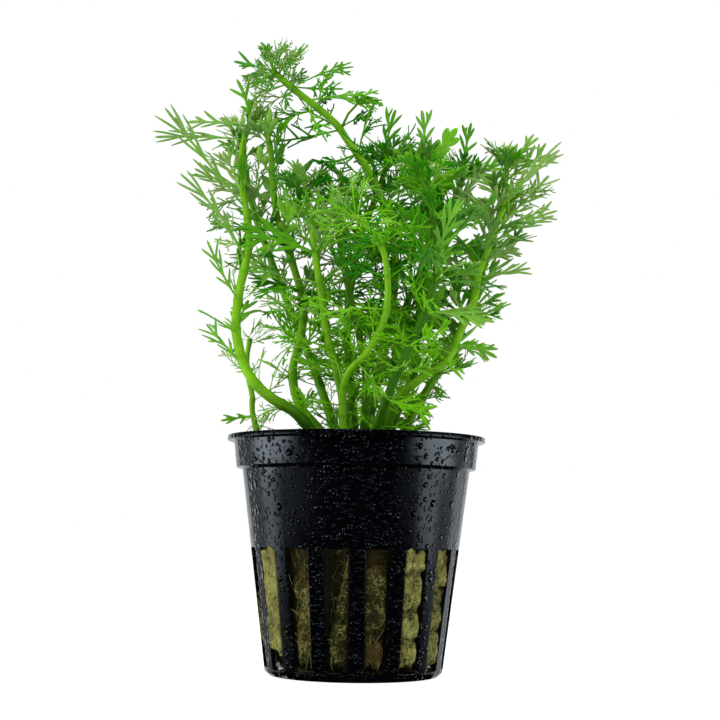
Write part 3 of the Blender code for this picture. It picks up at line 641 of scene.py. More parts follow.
def beads(finish, vector, spacing, smallest, largest, share, seed):
    """Height of round beads, of which a share of the cells of a Voronoi pattern hold one each.

    The spacing and the beads' smallest and largest radius are in metres, as the height is.
    """
    shift = finish.node("VectorMath", {"operation": "ADD"}, {0: vector, 1: (seed, seed, seed)})
    near = finish.node("TexVoronoi", {"feature": "F1"}, {"Vector": shift, "Scale": 1 / spacing},
                       output="Distance")
    chance = finish.node("SeparateColor", inputs={"Color": near.output("Color")}, output="Red")
    size = chance.output("Green")
    radius = size * size * ((largest - smallest) / spacing) + smallest / spacing
    here = (radius * radius - near * near).at_least(0.0) * (chance > 1 - share)
    return (here ** 0.5) * spacing


def make_pot_finish(look):
    """Black plastic under a wet film: near-mirror beads on a satin moulding."""
    finish = Finish("wet_black_plastic", {"IOR": 1.48, "Specular IOR Level": 0.5,
                                          "Specular Tint": (0.8, 0.9, 1, 1)})
    place = finish.place()
    space = look.bead
    height = (beads(finish, place, space, 0.00042, 0.00095, 0.8, 0.0)
              .at_least(beads(finish, place, space * 0.6, 0.0003, 0.0006, 0.95, 0.37))
              .at_least(beads(finish, place, space * 0.62, 0.00028, 0.00054, 0.95, 0.71))
              .at_least(beads(finish, place, space * 0.4, 0.00022, 0.00036, 0.8, 0.13))
              .at_least(beads(finish, finish.place((1, 1, 0.4)), space, 0.0002, 0.00045, 0.3, 0.53)))
    wet = height > 0.00002
    film = finish.grain(place, 0.006, 3.0, 0.6)
    satin = finish.grain(place, 0.00025, 2.0)
    rough = film * 0.08 + (look.roughness - 0.04)
    finish.set({
        "Roughness": finish.node("Mix", {"data_type": "FLOAT"}, {0: wet, 2: rough, 3: 0.03}),
        "Base Color": finish.tint(film, look.colour, shaded(look.colour, 1.9)),
    })
    finish.raise_surface(height * 0.85 + satin * 0.000003 + film * 0.00004)
    return finish.material


def make_wool_finish(look):
    """Matted mineral fibre, lighter on its lumps and darker in its hollows by painted light and shade,
    darker where wet, with brown wet patches.
    """
    finish = Finish("rock_wool", {"Specular IOR Level": 0.06})
    place = finish.place()
    relief = finish.attribute("relief")
    long_fibre = finish.grain(finish.place((1, 1, 0.2), (0.3, 0.5, 0.2)), 0.00028, 3.0, 0.6, 0.8)
    cross_fibre = finish.grain(finish.place((0.25, 1, 1), (0.9, 0.6, 0.7)), 0.00028, 3.0, 0.6, 0.8)
    matting = long_fibre.at_least(cross_fibre)
    lump = finish.grain(place, 0.003, 4.0, 0.65)
    grit = (matting - 0.58) * (2.9 - relief * 1.8)
    # Painted light and shade: lighter on the top, the bulges and the lumps, darker in the hollows and where
    # wet
    light = finish.ramp(relief * 0.85 + (lump - 0.5) * 1.1 + grit + 0.06, (0.1, 0.0), (0.8, 1.0))
    base = finish.tint(light, look.wet_and_shade_colour, look.colour)
    brown = finish.ramp(finish.grain(place, 0.007, 2.0, 0.5), (0.55, 0.0), (0.68, 0.75))
    base = finish.tint(brown, base, (0.05, 0.028, 0.008))
    finish.set({"Base Color": base, "Roughness": matting * 0.3 + 0.55})
    finish.raise_surface(matting * 0.0005 + lump * 0.0003)
    return finish.material


def make_fibre_finish(look):
    """Loose fibres, each partly in shade."""
    finish = Finish("wool_fibre", {"Specular IOR Level": 0.2, "Roughness": 0.5})
    shade = finish.grain(finish.place(), 0.002)
    dark = shaded(look.fibre_colour, 0.45)
    finish.set({"Base Color": finish.tint(shade, dark, look.fibre_colour)})
    return finish.material


def make_stem_finish(look):
    """Smooth juicy stem with pale streaks along it, greener at each node, and darker at its foot,
    partly its own colour and partly painted shade, and on some stems darker all along by painted shade.
    """
    finish = Finish("stem_skin", {"Subsurface Weight": 0.2, "Subsurface Scale": 0.0012,
                                  "Subsurface Radius": (0.5, 1.0, 0.1), "Specular IOR Level": 0.2})
    streak = finish.grain(finish.attribute("round_stem", "Vector"), 0.35, 3.0, 0.6)
    mottle = finish.grain(finish.place(), 0.0016, 3.0)
    light = look.stem_colour
    pale = shaded(light, 1.35, 0.003)
    green = filtered(light, (0.45, 0.68, 0.4))
    dark = filtered(light, (0.12, 0.3, 0.3))
    base = finish.tint(finish.ramp(streak, (0.38, 0.0), (0.7, 1.0)), light, pale)
    base = finish.tint(finish.attribute("rib") * 0.6, base, green)
    base = finish.tint(finish.ramp(mottle, (0.4, 0.0), (0.75, 0.35)), base, green)
    # Painted shade, with the foot's own darker colour, mixed in by the tone
    base = finish.tint(finish.attribute("tone"), base, dark)
    finish.set({"Base Color": base, "Roughness": mottle * 0.2 + 0.28})
    finish.raise_surface(streak * 0.00005)
    return finish.material


def make_leaf_finish(look):
    """Thin soft leaf: its tone and sage are set leaf by leaf, its midrib is paler than its lobes. The
    tone mixes a shaded and a lit colour, so it is partly painted light and shade and partly the
    leaf's own tone.
    """
    finish = Finish("leaf_skin", {"Subsurface Weight": 0.25, "Subsurface Scale": 0.0008,
                                  "Subsurface Radius": (0.5, 1.0, 0.1), "Specular IOR Level": 0.1})
    vein = finish.grain(finish.place(), 0.0007, 3.0, 0.6)
    blotch = finish.grain(finish.place(), 0.005, 2.0)
    tone = finish.attribute("tone") + (blotch - 0.5) * 0.5
    # Painted light and shade: the tone picks between the shaded and the lit leaf colour
    base = finish.tint(tone, look.shaded_leaf_colour, look.lit_leaf_colour)
    base = finish.tint(finish.attribute("sage"), base, look.sage_colour)
    base = finish.tint(finish.attribute("rib") * 0.25, base, shaded(look.lit_leaf_colour, 1.5, 0.01))
    base = finish.tint(finish.ramp(vein, (0.45, 0.0), (0.8, 0.4)), base, shaded(look.shaded_leaf_colour, 0.8))
    finish.set({"Base Color": base, "Roughness": vein * 0.25 + 0.4})
    finish.raise_surface(vein * 0.00003)
    return finish.material


# Pieces

def make_piece(name, bm, materials, nodes):
    """Turn a mesh in millimetres into a piece in metres that stands for some of the frame's nodes."""
    bmesh.ops.scale(bm, verts=bm.verts, vec=(MM, MM, MM))
    mesh = bpy.data.meshes.new(name)
    bm.to_mesh(mesh)
    bm.free()
    for material in materials:
        mesh.materials.append(material)
    mesh.shade_smooth()
    piece = bpy.data.objects.new(name, mesh)
    bpy.context.scene.collection.objects.link(piece)
    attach(piece, "root")
    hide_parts(*nodes)
    return piece


# Pot

def body_radius(z):
    """Outer radius of the pot's tapered body."""
    return BASE_RADIUS + (BODY_TOP_RADIUS - BASE_RADIUS) * z / BODY_TOP_Z


def pot_profile():
    """Radius and height from the middle of the underside, up the outside and down the inside."""
    rim_foot_z = POT_HEIGHT - RIM_THICKNESS
    outside = [
        (0, 0), (DRAIN_INNER_RADIUS, 0), (DRAIN_OUTER_RADIUS, 0), (BASE_RADIUS - BASE_ROUND, 0),
        (body_radius(BASE_ROUND), BASE_ROUND), (body_radius(SLOT_FOOT_Z), SLOT_FOOT_Z),
        (body_radius(SLOT_HEAD_Z), SLOT_HEAD_Z), (BODY_TOP_RADIUS, BODY_TOP_Z),
        (COLLAR_FOOT_RADIUS, COLLAR_FOOT_Z), (COLLAR_TOP_RADIUS, rim_foot_z),
        (RIM_RADIUS, rim_foot_z), (RIM_RADIUS, POT_HEIGHT)]
    inside = [
        (COLLAR_TOP_RADIUS - WALL, POT_HEIGHT), (COLLAR_FOOT_RADIUS - WALL, COLLAR_FOOT_Z + WALL),
        (BODY_TOP_RADIUS - WALL, BODY_TOP_Z), (body_radius(SLOT_HEAD_Z) - WALL, SLOT_HEAD_Z),
        (body_radius(SLOT_FOOT_Z) - WALL, SLOT_FOOT_Z), (BASE_RADIUS - WALL - BASE_ROUND, FLOOR),
        (DRAIN_OUTER_RADIUS, FLOOR), (DRAIN_INNER_RADIUS, FLOOR), (0, FLOOR)]
    return outside + inside


def spin_profile(profile, columns, start):
    """Turn a profile once round Z, from the angle start.

    A grid is rolled up, because the spin operator's order of faces changes from run to run.
    """
    bm = bmesh.new()
    rows = len(profile) - 1
    bmesh.ops.create_grid(bm, x_segments=columns, y_segments=rows, size=1)
    for vert in bm.verts:
        turn = start + math.pi * (vert.co.x + 1)
        radius, z = profile[round(rows * (vert.co.y + 1) / 2)]
        vert.co = (radius * math.cos(turn), radius * math.sin(turn), z)
    bmesh.ops.remove_doubles(bm, verts=bm.verts, dist=0.001)
    bmesh.ops.recalc_face_normals(bm, faces=bm.faces)
    return bm


def turn_of(point):
    return math.atan2(point.y, point.x)


def from_rib(turn):
    """Signed angle from the nearest rib's middle."""
    return (turn - FIRST_RIB_TURN + RIB_PITCH / 2) % RIB_PITCH - RIB_PITCH / 2


def fit_ribs(bm):
    """Shift the columns so that the ribs keep one width from foot to head, though the pot tapers."""
    for vert in bm.verts:
        radius = math.hypot(vert.co.x, vert.co.y)
        if vert.co.z > SLOT_HEAD_Z + 1 or radius < DRAIN_OUTER_RADIUS + 1:
            continue
        turn = turn_of(vert.co)
        offset = from_rib(turn)
        edge = math.asin(RIB_WIDTH / 2 / radius)
        if abs(offset) <= RIB_HALF_TURN:
            moved = abs(offset) * edge / RIB_HALF_TURN
        else:
            past = abs(offset) - RIB_HALF_TURN
            moved = edge + past * (RIB_PITCH / 2 - edge) / (RIB_PITCH / 2 - RIB_HALF_TURN)
        turn += math.copysign(moved, offset) - offset
        vert.co.x, vert.co.y = radius * math.cos(turn), radius * math.sin(turn)


def slot_number(point):
    return round((turn_of(point) - FIRST_SLOT_TURN) / RIB_PITCH) % SLOTS


def open_windows(bm, is_window):
    """Cut straight through the wall at each slot whose faces pass the test.

    The edges are kept in order, because the order of a set changes from run to run.
    """
    windows = {}
    for face in bm.faces:
        centre = face.calc_center_median()
        if abs(from_rib(turn_of(centre))) > RIB_HALF_TURN and is_window(centre):
            windows.setdefault(slot_number(centre), []).append(face)
    for faces in windows.values():
        edges = list(dict.fromkeys(edge for face in faces for edge in face.edges))
        bmesh.ops.delete(bm, geom=faces, context="FACES")
        rim = [edge for edge in edges if edge.is_valid and edge.is_boundary]
        bmesh.ops.bridge_loops(bm, edges=rim)


def is_side_window(centre):
    return SLOT_FOOT_Z + 1 < centre.z < SLOT_HEAD_Z


def is_drain(centre):
    on_floor = DRAIN_INNER_RADIUS < math.hypot(centre.x, centre.y) < DRAIN_OUTER_RADIUS
    return on_floor and centre.z < FLOOR + 0.1 and slot_number(centre) % 2 == 0


def make_pot(look):
    bm = spin_profile(pot_profile(), SLOTS * COLUMNS_PER_SLOT, FIRST_RIB_TURN)
    fit_ribs(bm)
    open_windows(bm, is_side_window)
    open_windows(bm, is_drain)
    sharp = [edge for edge in bm.edges
             if edge.is_manifold and edge.calc_face_angle() > SHARP_EDGE]
    bmesh.ops.bevel(bm, geom=sharp, offset=look.edge / MM, offset_type="OFFSET", segments=3,
                    profile=0.5, affect="EDGES", clamp_overlap=True, material=-1)
    pot = make_piece("pot_moulding", bm, [make_pot_finish(look)], ["net_pot"])
    pot.data.set_sharp_from_angle(angle=SMOOTH_EDGE)
    flats = pot.modifiers.new("even_flats", "WEIGHTED_NORMAL")
    flats.keep_sharp = True


# Rock wool

class SlotWool(NamedTuple):
    """How the wool lies in one slot: its bulge past the inner wall, the heights where it starts and
    ends, the share of the slot's width it fills evenly, how lumpy it is, the depth and the heights of
    the void on the seam's left, the heights of its creases, and how wet it is, which darkens its colour
    partly for its wetness and partly as painted shade, and below 0 lightens it as painted light."""

    bulge: float
    head: float = 27.0
    foot: float = 3.2
    fill: float = 0.93
    lumps: float = 1.0
    void: tuple = (0, 0, 1)
    creases: tuple = ()
    wet: float = 0.1


# The wet values darken each slot's colour, partly as painted shade, or lighten it as painted light
SLOT_WOOL = {
    12: SlotWool(0.9, head=15.5, foot=6.0, fill=0.9, lumps=0.7),
    13: SlotWool(0.9, foot=5.0, fill=1.0, lumps=0.25, wet=-0.18),
    14: SlotWool(-0.5, foot=3.6, lumps=0.7, void=(0.9, 19, 27), wet=0.22),
    15: SlotWool(-0.4, foot=3.0, lumps=0.8, void=(2.4, 8, 25), creases=(12.5,), wet=0.3),
    0: SlotWool(-0.1, head=23.6, foot=3.0, fill=0.95, lumps=0.7, creases=(9.0,), wet=0.36),
    1: SlotWool(0.7, foot=2.8, lumps=0.6, creases=(21.5, 14.0, 8.0), wet=-0.08),
    2: SlotWool(0.5, foot=2.6, lumps=0.6, creases=(18.0, 10.0), wet=-0.04),
    3: SlotWool(-0.7, creases=(18.0, 10.0)),
}
PLAIN_SLOT = SlotWool(0.4, creases=(19.0, 11.0))


def noise_at(point, unevenness):
    """Height of one kind of unevenness at a point."""
    size, seed, height = unevenness
    return noise.noise(Vector(point) / size + Vector((seed, seed * 0.7, -seed))) * height


def soft_step(value, low, high):
    """0 up to one value, 1 from another, and a smooth rise between them."""
    share = min(1, max(0, (value - low) / (high - low)))
    return share * share * (3 - 2 * share)


def wool_push(point, keep_left):
    """How far a point on the wool's side moves out from the pot's inner wall."""
    slot = slot_number(point)
    wool = SLOT_WOOL.get(slot, PLAIN_SLOT)
    half = RIB_PITCH / 2 - RIB_WIDTH / 2 / body_radius(point.z)
    offset = (turn_of(point) - FIRST_SLOT_TURN - slot * RIB_PITCH + math.pi) % math.tau - math.pi
    lump = noise_at(point, COARSE_LUMPS) + noise_at(point, FINE_LUMPS)
    hollow = lump * HOLLOW_LUMPS - HOLLOW_DEPTH
    if abs(offset) > half * 1.1:
        return hollow
    z = point.z + noise_at(point, RAGGED_ENDS)
    across = 1 - soft_step(abs(offset) / half, wool.fill, wool.fill + 0.1)
    along = soft_step(z, wool.foot - 0.5, wool.foot + 0.7) * (1 - soft_step(z, wool.head - 0.7, wool.head))
    push = wool.bulge + min(lump, HIGHEST_LUMP) * wool.lumps
    push -= sum(math.exp(-((z - crease) / CREASE_WIDTH) ** 2) for crease in wool.creases)
    if keep_left:
        depth, low, high = wool.void
        push -= depth * soft_step(z, low, low + 2) * (1 - soft_step(z, high, high + 2))
    return (push - hollow) * across * along + hollow


def press_wool(vert, relief, keep_left):
    """Shape one vertex of the plug, and keep for its colour how far it stands out, as painted light
    and shade, and how wet it is.
    """
    radius = math.hypot(vert.co.x, vert.co.y)
    fuzz = noise_at(vert.co, FUZZ)
    if vert.co.z > WOOL_TOP_Z - 0.4 or radius < BASE_RADIUS - WALL - 2:
        if vert.co.z > FLOOR + 2:
            vert.co.z += noise_at(vert.co, TOP_LUMPS) + fuzz
        vert[relief] = TOP_LEVEL + noise_at(vert.co, TOP_LEVELS)
        return
    push = wool_push(vert.co, keep_left) if vert.co.z < SLOT_HEAD_Z + 1 else -WOOL_RIB_GAP
    vert.co.x *= (radius + push + fuzz) / radius
    vert.co.y *= (radius + push + fuzz) / radius
    wool = SLOT_WOOL.get(slot_number(vert.co), PLAIN_SLOT)
    # Painted light and shade by how far it stands out, darker where wet
    vert[relief] = SIDE_LEVEL + (push - wool.bulge) * LEVEL_PER_MM + fuzz - wool.wet


def wool_profile():
    """Radius and height of the plug from the middle of its foot to its top, finest on its side."""
    foot_radius = body_radius(0) - WALL - 2.2
    start = (0.01, WOOL_FOOT_Z)
    runs = [(foot_radius, WOOL_FOOT_Z, 3), (body_radius(4) - WALL, 3.4, 3),
            (body_radius(28) - WALL, 28, 56), (body_radius(WOOL_TOP_Z) - WALL - 0.4, WOOL_TOP_Z - 1.6, 8),
            (body_radius(WOOL_TOP_Z) - WALL - 2.6, WOOL_TOP_Z, 3), (0.01, WOOL_TOP_Z, 16)]
    profile = [start]
    for next_r, next_z, steps in runs:
        r, z = profile[-1]
        profile += [(r + (next_r - r) * i / steps, z + (next_z - z) * i / steps)
                    for i in range(1, steps + 1)]
    return profile


def make_wool(look, name, keep_left, finishes):
    """One chunk of the plug, on its side of the leaning seam, with loose fibres on it."""
    bm = spin_profile(wool_profile(), WOOL_COLUMNS, FIRST_RIB_TURN)
    relief = bm.verts.layers.float.new("relief")
    across = Vector((1, SEAM_TURN, -SEAM_LEAN)).normalized()
    point = Vector(SEAM_POINT) + across * SEAM_GAP / 2 * (-1 if keep_left else 1)
    cut = bmesh.ops.bisect_plane(bm, geom=bm.verts[:] + bm.edges[:] + bm.faces[:], dist=0.001,
                                 plane_co=point, plane_no=across,
                                 clear_outer=keep_left, clear_inner=not keep_left)
    seam = [item for item in cut["geom_cut"] if isinstance(item, bmesh.types.BMEdge)]
    filled = bmesh.ops.edgeloop_fill(bm, edges=seam)
    bmesh.ops.triangulate(bm, faces=filled["faces"])
    for vert in bm.verts:
        press_wool(vert, relief, keep_left)
    bmesh.ops.recalc_face_normals(bm, faces=bm.faces)
    add_fibres(bm, look.fibres, random.Random(name))
    make_piece(name, bm, finishes, ["rock_" + name])


def make_fibre(rng, length):
    """A loose fibre, bent at random, as a mesh that starts at the origin along +Y."""
    bm = bmesh.new()
    face = start_face(bm, 3)
    spot, way = ORIGIN, Vector((0, 1, 0))
    set_ring(face, spot, way, FIBRE_FOOT_RADIUS)
    for _ in range(FIBRE_STEPS):
        way = (way + Vector([rng.uniform(-FIBRE_BEND, FIBRE_BEND) for _ in range(3)])).normalized()
        spot = spot + way * length / FIBRE_STEPS
        face = extrude(bm, face)
        set_ring(face, spot, way, FIBRE_RADIUS)
    close_foot(bm)
    bmesh.ops.recalc_face_normals(bm, faces=bm.faces)
    for face in bm.faces:
        face.material_index = 1
    mesh = bpy.data.meshes.new("fibre")
    bm.to_mesh(mesh)
    bm.free()
    return mesh


def add_fibres(bm, count, rng):
    """Scatter fibres over the wool's side, where it shows in the slots."""
    bm.faces.ensure_lookup_table()
    seats = [(face.calc_center_median(), face.normal.copy()) for face in bm.faces
             if WOOL_FOOT_Z + 2 < face.calc_center_median().z < SLOT_HEAD_Z]
    seats = [seat for seat in seats if abs(from_rib(turn_of(seat[0]))) > RIB_PITCH * FOOT_OFF_RIB
             and rng.random() > bareness(seat[0])]
    shapes = [make_fibre(rng, rng.uniform(*FIBRE_LENGTHS)) for _ in range(FIBRE_SHAPES)]
    for _ in range(count):
        centre, normal = rng.choice(seats)
        lean = Vector([rng.uniform(-1, 1) for _ in range(3)]) + UP * rng.choice(FIBRE_LEANS)
        way = (lean - normal * lean.dot(normal)).normalized()
        foot = Matrix.Translation(centre + normal * FIBRE_LIFT)
        place = foot @ axes(way.cross(normal), way, normal)
        shape = rng.choice(shapes)
        if not sticks_out(shape, place):
            add_shape(bm, shape, place)
    for shape in shapes:
        bpy.data.meshes.remove(shape)


def bareness(point):
    """Share of the places that have no loose fibres: most on the upper part of wet wool."""
    wet = SLOT_WOOL.get(slot_number(point), PLAIN_SLOT).wet
    return wet * (HIGH_BARENESS if point.z > HIGH_IN_SLOT_Z else LOW_BARENESS)


def sticks_out(shape, place):
    """Whether a fibre would reach across a rib, past the pot's side or under the wool."""
    tip = place @ max((vert.co for vert in shape.vertices), key=lambda point: point.y)
    on_rib = abs(from_rib(turn_of(tip))) < RIB_PITCH * TIP_OFF_RIB
    return on_rib or tip.z < WOOL_FOOT_Z or tip.xy.length > body_radius(tip.z) + 0.1


def axes(x, y, z):
    """A matrix that turns the world's axes to these."""
    return Matrix((x, y, z)).transposed().to_4x4()


def add_shape(bm, mesh, place):
    """Add a copy of a mesh at a place."""
    mesh.transform(place)
    bm.from_mesh(mesh)
    mesh.transform(place.inverted())


def start_face(bm, sides):
    """Start a mesh from one face, whose corners are placed afterwards."""
    bmesh.ops.create_circle(bm, cap_ends=True, segments=sides, radius=1)
    bm.faces.ensure_lookup_table()
    return bm.faces[0]


def extrude(bm, face):
    """Extrude one face and give the new one, which still lies on the old one's place."""
    return bmesh.ops.extrude_discrete_faces(bm, faces=[face])["faces"][0]


def close_foot(bm):
    bmesh.ops.edgeloop_fill(bm, edges=[edge for edge in bm.edges if edge.is_boundary])


def set_ring(face, centre, way, radius, side=Vector((1, 0, 0))):
    """Set a ring's corners square to a direction, and give the side vector turned to suit."""
    side = (side - way * side.dot(way)).normalized()
    over = way.cross(side)
    for i, vert in enumerate(face.verts):
        turn = math.tau * i / len(face.verts)
        vert.co = centre + radius * (math.cos(turn) * side + math.sin(turn) * over)
    return side


# Leaves

class Sprout:
    """A leaf grown flat from one small face, its foot at the origin, its tip on +Y, its top up +Z."""

    def __init__(self, plan, reach, rng):
        self.plan, self.reach, self.rng = plan, reach, rng
        self.bm = bmesh.new()
        self.rib = self.bm.verts.layers.float.new("rib")

    def grow_whole(self, length, pairs):
        """Grow the midrib and all on it, from a foot that is closed at the end."""
        face = start_face(self.bm, 4)
        width = self.plan.midrib.foot
        for vert, (across, over) in zip(face.verts, ((-1, -1), (1, -1), (1, 1), (-1, 1))):
            vert.co = Vector((across * width, 0, over * self.plan.thickness)) / 2
            vert[self.rib] = 1
        self.grow(face, ORIGIN, Vector((0, 1, 0)), length, 0, 0, pairs)
        close_foot(self.bm)
        bmesh.ops.recalc_face_normals(self.bm, faces=self.bm.faces)

    def roots(self, order, pairs):
        """Where side axes leave an axis: each one's share of its length, and its sides."""
        start, end = (self.plan.stalk, MIDRIB_END) if order == 0 else (BRANCH_START, BRANCH_END)
        if order == 0 and self.plan.paired:
            return [(start + (end - start) * i / pairs, (-1, 1)) for i in range(pairs)]
        count = pairs * 2 if order == 0 else pairs
        first = self.rng.choice((0, 1)) if order == 0 else 0
        step = (end - start) / count if count else 0
        return [(start + step * (i + self.rng.uniform(0, ROOT_CHANCE)), ((-1, 1)[(i + first) % 2],))
                for i in range(count)]

    def side_length(self, order, length, share):
        """Length of a side axis: longest about the middle of a leaf, and at a branch's foot."""
        if order == 0:
            rise = (share - self.plan.stalk) / (1 - self.plan.stalk)
            size = self.reach * math.sin(math.pi * (0.24 + 0.62 * rise))
        else:
            size = self.plan.tooth_length * length * (1.15 - 0.6 * share)
        return size * self.rng.uniform(*SIDE_SIZES)

    def cut_shares(self, order, length, roots):
        """Shares of an axis where its width is set: both edges of each side axis, and its swells."""
        plan = self.plan
        axis, child = ((plan.midrib, plan.branch), (plan.branch, plan.tooth), (plan.tooth, None))[order]
        half = child.foot / 2 / math.sin(math.radians(plan.spread)) / length if roots else 0
        cuts = [(share + sign * half, sides if sign == 1 else ())
                for share, sides in roots for sign in (-1, 1)]
        last = cuts[-1][0] if cuts else 0
        lobed = axis.swell if order else plan.branch.swell
        ends = WIDE_CUTS if lobed > WIDE_SWELL else THIN_CUTS
        cuts += [(last + (1 - last) * end, ()) for end in ends]
        if order == 0:
            cuts.insert(0, (cuts[0][0] / 2, ()))
        return [*cuts, (1, ())], last

    def width(self, order, share, last):
        """Width of an axis. The midrib ends in a lobe like those at its sides."""
        plan = self.plan
        axis = (plan.midrib, plan.branch, plan.tooth)[order]
        swell = axis.swell * math.sin(math.pi * share)
        if order == 0 and share > last:
            swell = plan.branch.swell * math.sin(math.pi * (share - last) / (1 - last))
        return axis.foot + (axis.tip - axis.foot) * share + swell

    def grow(self, face, foot, way, length, turn, order, pairs):
        """Grow one axis, which turns by an angle on its way, and then the side axes on it."""
        plan, rng = self.plan, self.rng
        cuts, last = self.cut_shares(order, length, self.roots(order, pairs))
        sprouts = []
        for share, sides in cuts:
            spot = foot + spun(way, turn * share / 2) * length * share
            face, panels = self.extend(face, spot, spun(way, turn * share),
                                       self.width(order, share, last), (1 - share) * RIB_FADE ** order)
            sprouts += [(panels[side], side, share) for side in sides]
        for panel, side, share in sprouts:
            size = self.side_length(order, length, share)
            spread = math.radians(plan.spread + rng.gauss(0, plan.wander)) * -side
            bend = math.radians(plan.hook + rng.gauss(0, plan.wander)) * side
            side_way = spun(way, turn * share + spread) + UP * rng.gauss(0, plan.lift)
            more = rng.randint(0, min(plan.teeth, int(size / TOOTH_PITCH))) if order == 0 else 0
            self.grow(panel, panel.calc_center_median(), side_way.normalized(), size, bend,
                      order + 1, more)

    def extend(self, face, centre, way, width, rib):
        """Extrude a face to a new place, and give it with the panels on its two sides."""
        side = Vector((way.y, -way.x, 0)).normalized()
        old = face.calc_center_median()
        face = extrude(self.bm, face)
        signs = {vert: math.copysign(1, (vert.co - old).dot(side)) for vert in face.verts}
        for vert, across in signs.items():
            over = math.copysign(self.plan.thickness / 2, vert.co.z - old.z)
            vert.co = centre + side * across * width / 2 + UP * over
            vert[self.rib] = rib
        panels = {}
        for edge in face.edges:
            ends = {signs[vert] for vert in edge.verts}
            if len(ends) == 1:
                panels[ends.pop()] = next(other for other in edge.link_faces if other != face)
        return face, panels

    def to_mesh(self, name):
        for face in self.bm.faces:
            face.material_index = 1
        for layer in ("tone", "sage"):
            self.bm.verts.layers.float.new(layer)
        mesh = bpy.data.meshes.new(name)
        self.bm.to_mesh(mesh)
        self.bm.free()
        return mesh


def spun(way, angle):
    """A direction in the leaf's plane, turned about the leaf's face."""
    return Vector((way.x * math.cos(angle) - way.y * math.sin(angle),
                   way.x * math.sin(angle) + way.y * math.cos(angle), way.z))


def get_points(mesh):
    points = np.empty(len(mesh.vertices) * 3, np.float32)
    mesh.vertices.foreach_get("co", points)
    return points.reshape(-1, 3).astype(float)


def set_leaf(mesh, points, tone, sage):
    """Write a leaf's bent points, and the tone, partly painted light and shade, and the sage that its
    finish reads.
    """
    mesh.vertices.foreach_set("co", points.astype(np.float32).ravel())
    for name, value in (("tone", tone), ("sage", sage)):
        mesh.attributes[name].data.foreach_set("value", np.full(len(points), value, np.float32))


class Bend(NamedTuple):
    """How a flat leaf is bent: curled towards its top and twisted by angles, its sides lifted, and
    its tip swayed aside."""

    curl: float
    twist: float
    cup: float
    sway: float


def bent(points, length, bend):
    """Bend a leaf that lies along +Y. Its curl can't be 0, which has no radius."""
    curl, twist, cup, sway = bend
    x, y, z = points.T
    z = z + cup * x * x / length
    turn = twist * y / length
    x, z = x * np.cos(turn) + z * np.sin(turn), z * np.cos(turn) - x * np.sin(turn)
    x = x + sway * y * y / length
    turn = curl * y / length
    radius = length / curl
    return np.column_stack([x, (radius - z) * np.sin(turn), radius - (radius - z) * np.cos(turn)])


class LeafShape:
    """A ready leaf mesh that is laid many times, each time bent, turned and tinted anew."""

    def __init__(self, kind, seed):
        sprout = Sprout(PLANS[kind], WHORL_LEAVES[kind].reach, random.Random(seed))
        sprout.grow_whole(SHAPE_LENGTH, PLANS[kind].pairs)
        self.mesh = sprout.to_mesh(seed)
        self.points = get_points(self.mesh)

    def lay(self, bm, place, size, bend, tone, sage):
        """Add the leaf to a mesh at the first size that keeps it in the bush and off the pot."""
        flat = bent(self.points, SHAPE_LENGTH, bend) * size
        matrix = np.array(place)
        for fit in LEAF_FITS:
            points = flat * fit @ matrix[:3, :3].T + matrix[:3, 3]
            if keeps_in_bush(points) and not touches_pot(points):
                break
        else:
            return
        set_leaf(self.mesh, points, tone, sage)
        bm.from_mesh(self.mesh)


def keeps_in_bush(points):
    """Whether a leaf's points all lie within the bush as it is seen from the front."""
    heights, lefts, rights = np.array(BUSH).T
    x, _, z = points.T
    inside = (x > np.interp(z, heights, lefts)) & (x < np.interp(z, heights, rights))
    return bool(np.all(inside & (z < heights[-1])))


def touches_pot(points):
    """Whether a leaf's points reach into the wool, or into the rim or past it."""
    x, y, z = points.T
    past_rim = (z < POT_HEIGHT + RIM_GAP) & (np.hypot(x, y) > RIM_INSIDE)
    return bool(np.any(z < WOOL_TOP_Z + WOOL_GAP) or np.any(past_rim))


# Stems

class Curve:
    """A smooth curve through listed points, measured along its length."""

    def __init__(self, route):
        points = np.array([route[0], *route, route[-1]], float)
        points[0] = 2 * points[1] - points[2]
        points[-1] = 2 * points[-2] - points[-3]
        t = np.linspace(0, 1, CURVE_STEPS, endpoint=False)[:, None]
        spans = []
        for a, b, c, d in zip(points, points[1:], points[2:], points[3:]):
            spans.append(b + t * (c - a) / 2 + t * t * (a - 2.5 * b + 2 * c - d / 2)
                         + t ** 3 * (1.5 * b - 1.5 * c + (d - a) / 2))
        self.points = np.concatenate([*spans, points[-2:-1]])
        steps = np.linalg.norm(np.diff(self.points, axis=0), axis=1)
        self.places = np.concatenate([[0], np.cumsum(steps)])
        self.length = float(self.places[-1])

    def point(self, share):
        place = share * self.length
        return Vector([np.interp(place, self.places, axis) for axis in self.points.T])

    def direction(self, share):
        ahead = self.point(min(share + AIM_REACH, 1))
        behind = self.point(max(share - AIM_REACH, 0))
        return (ahead - behind).normalized()


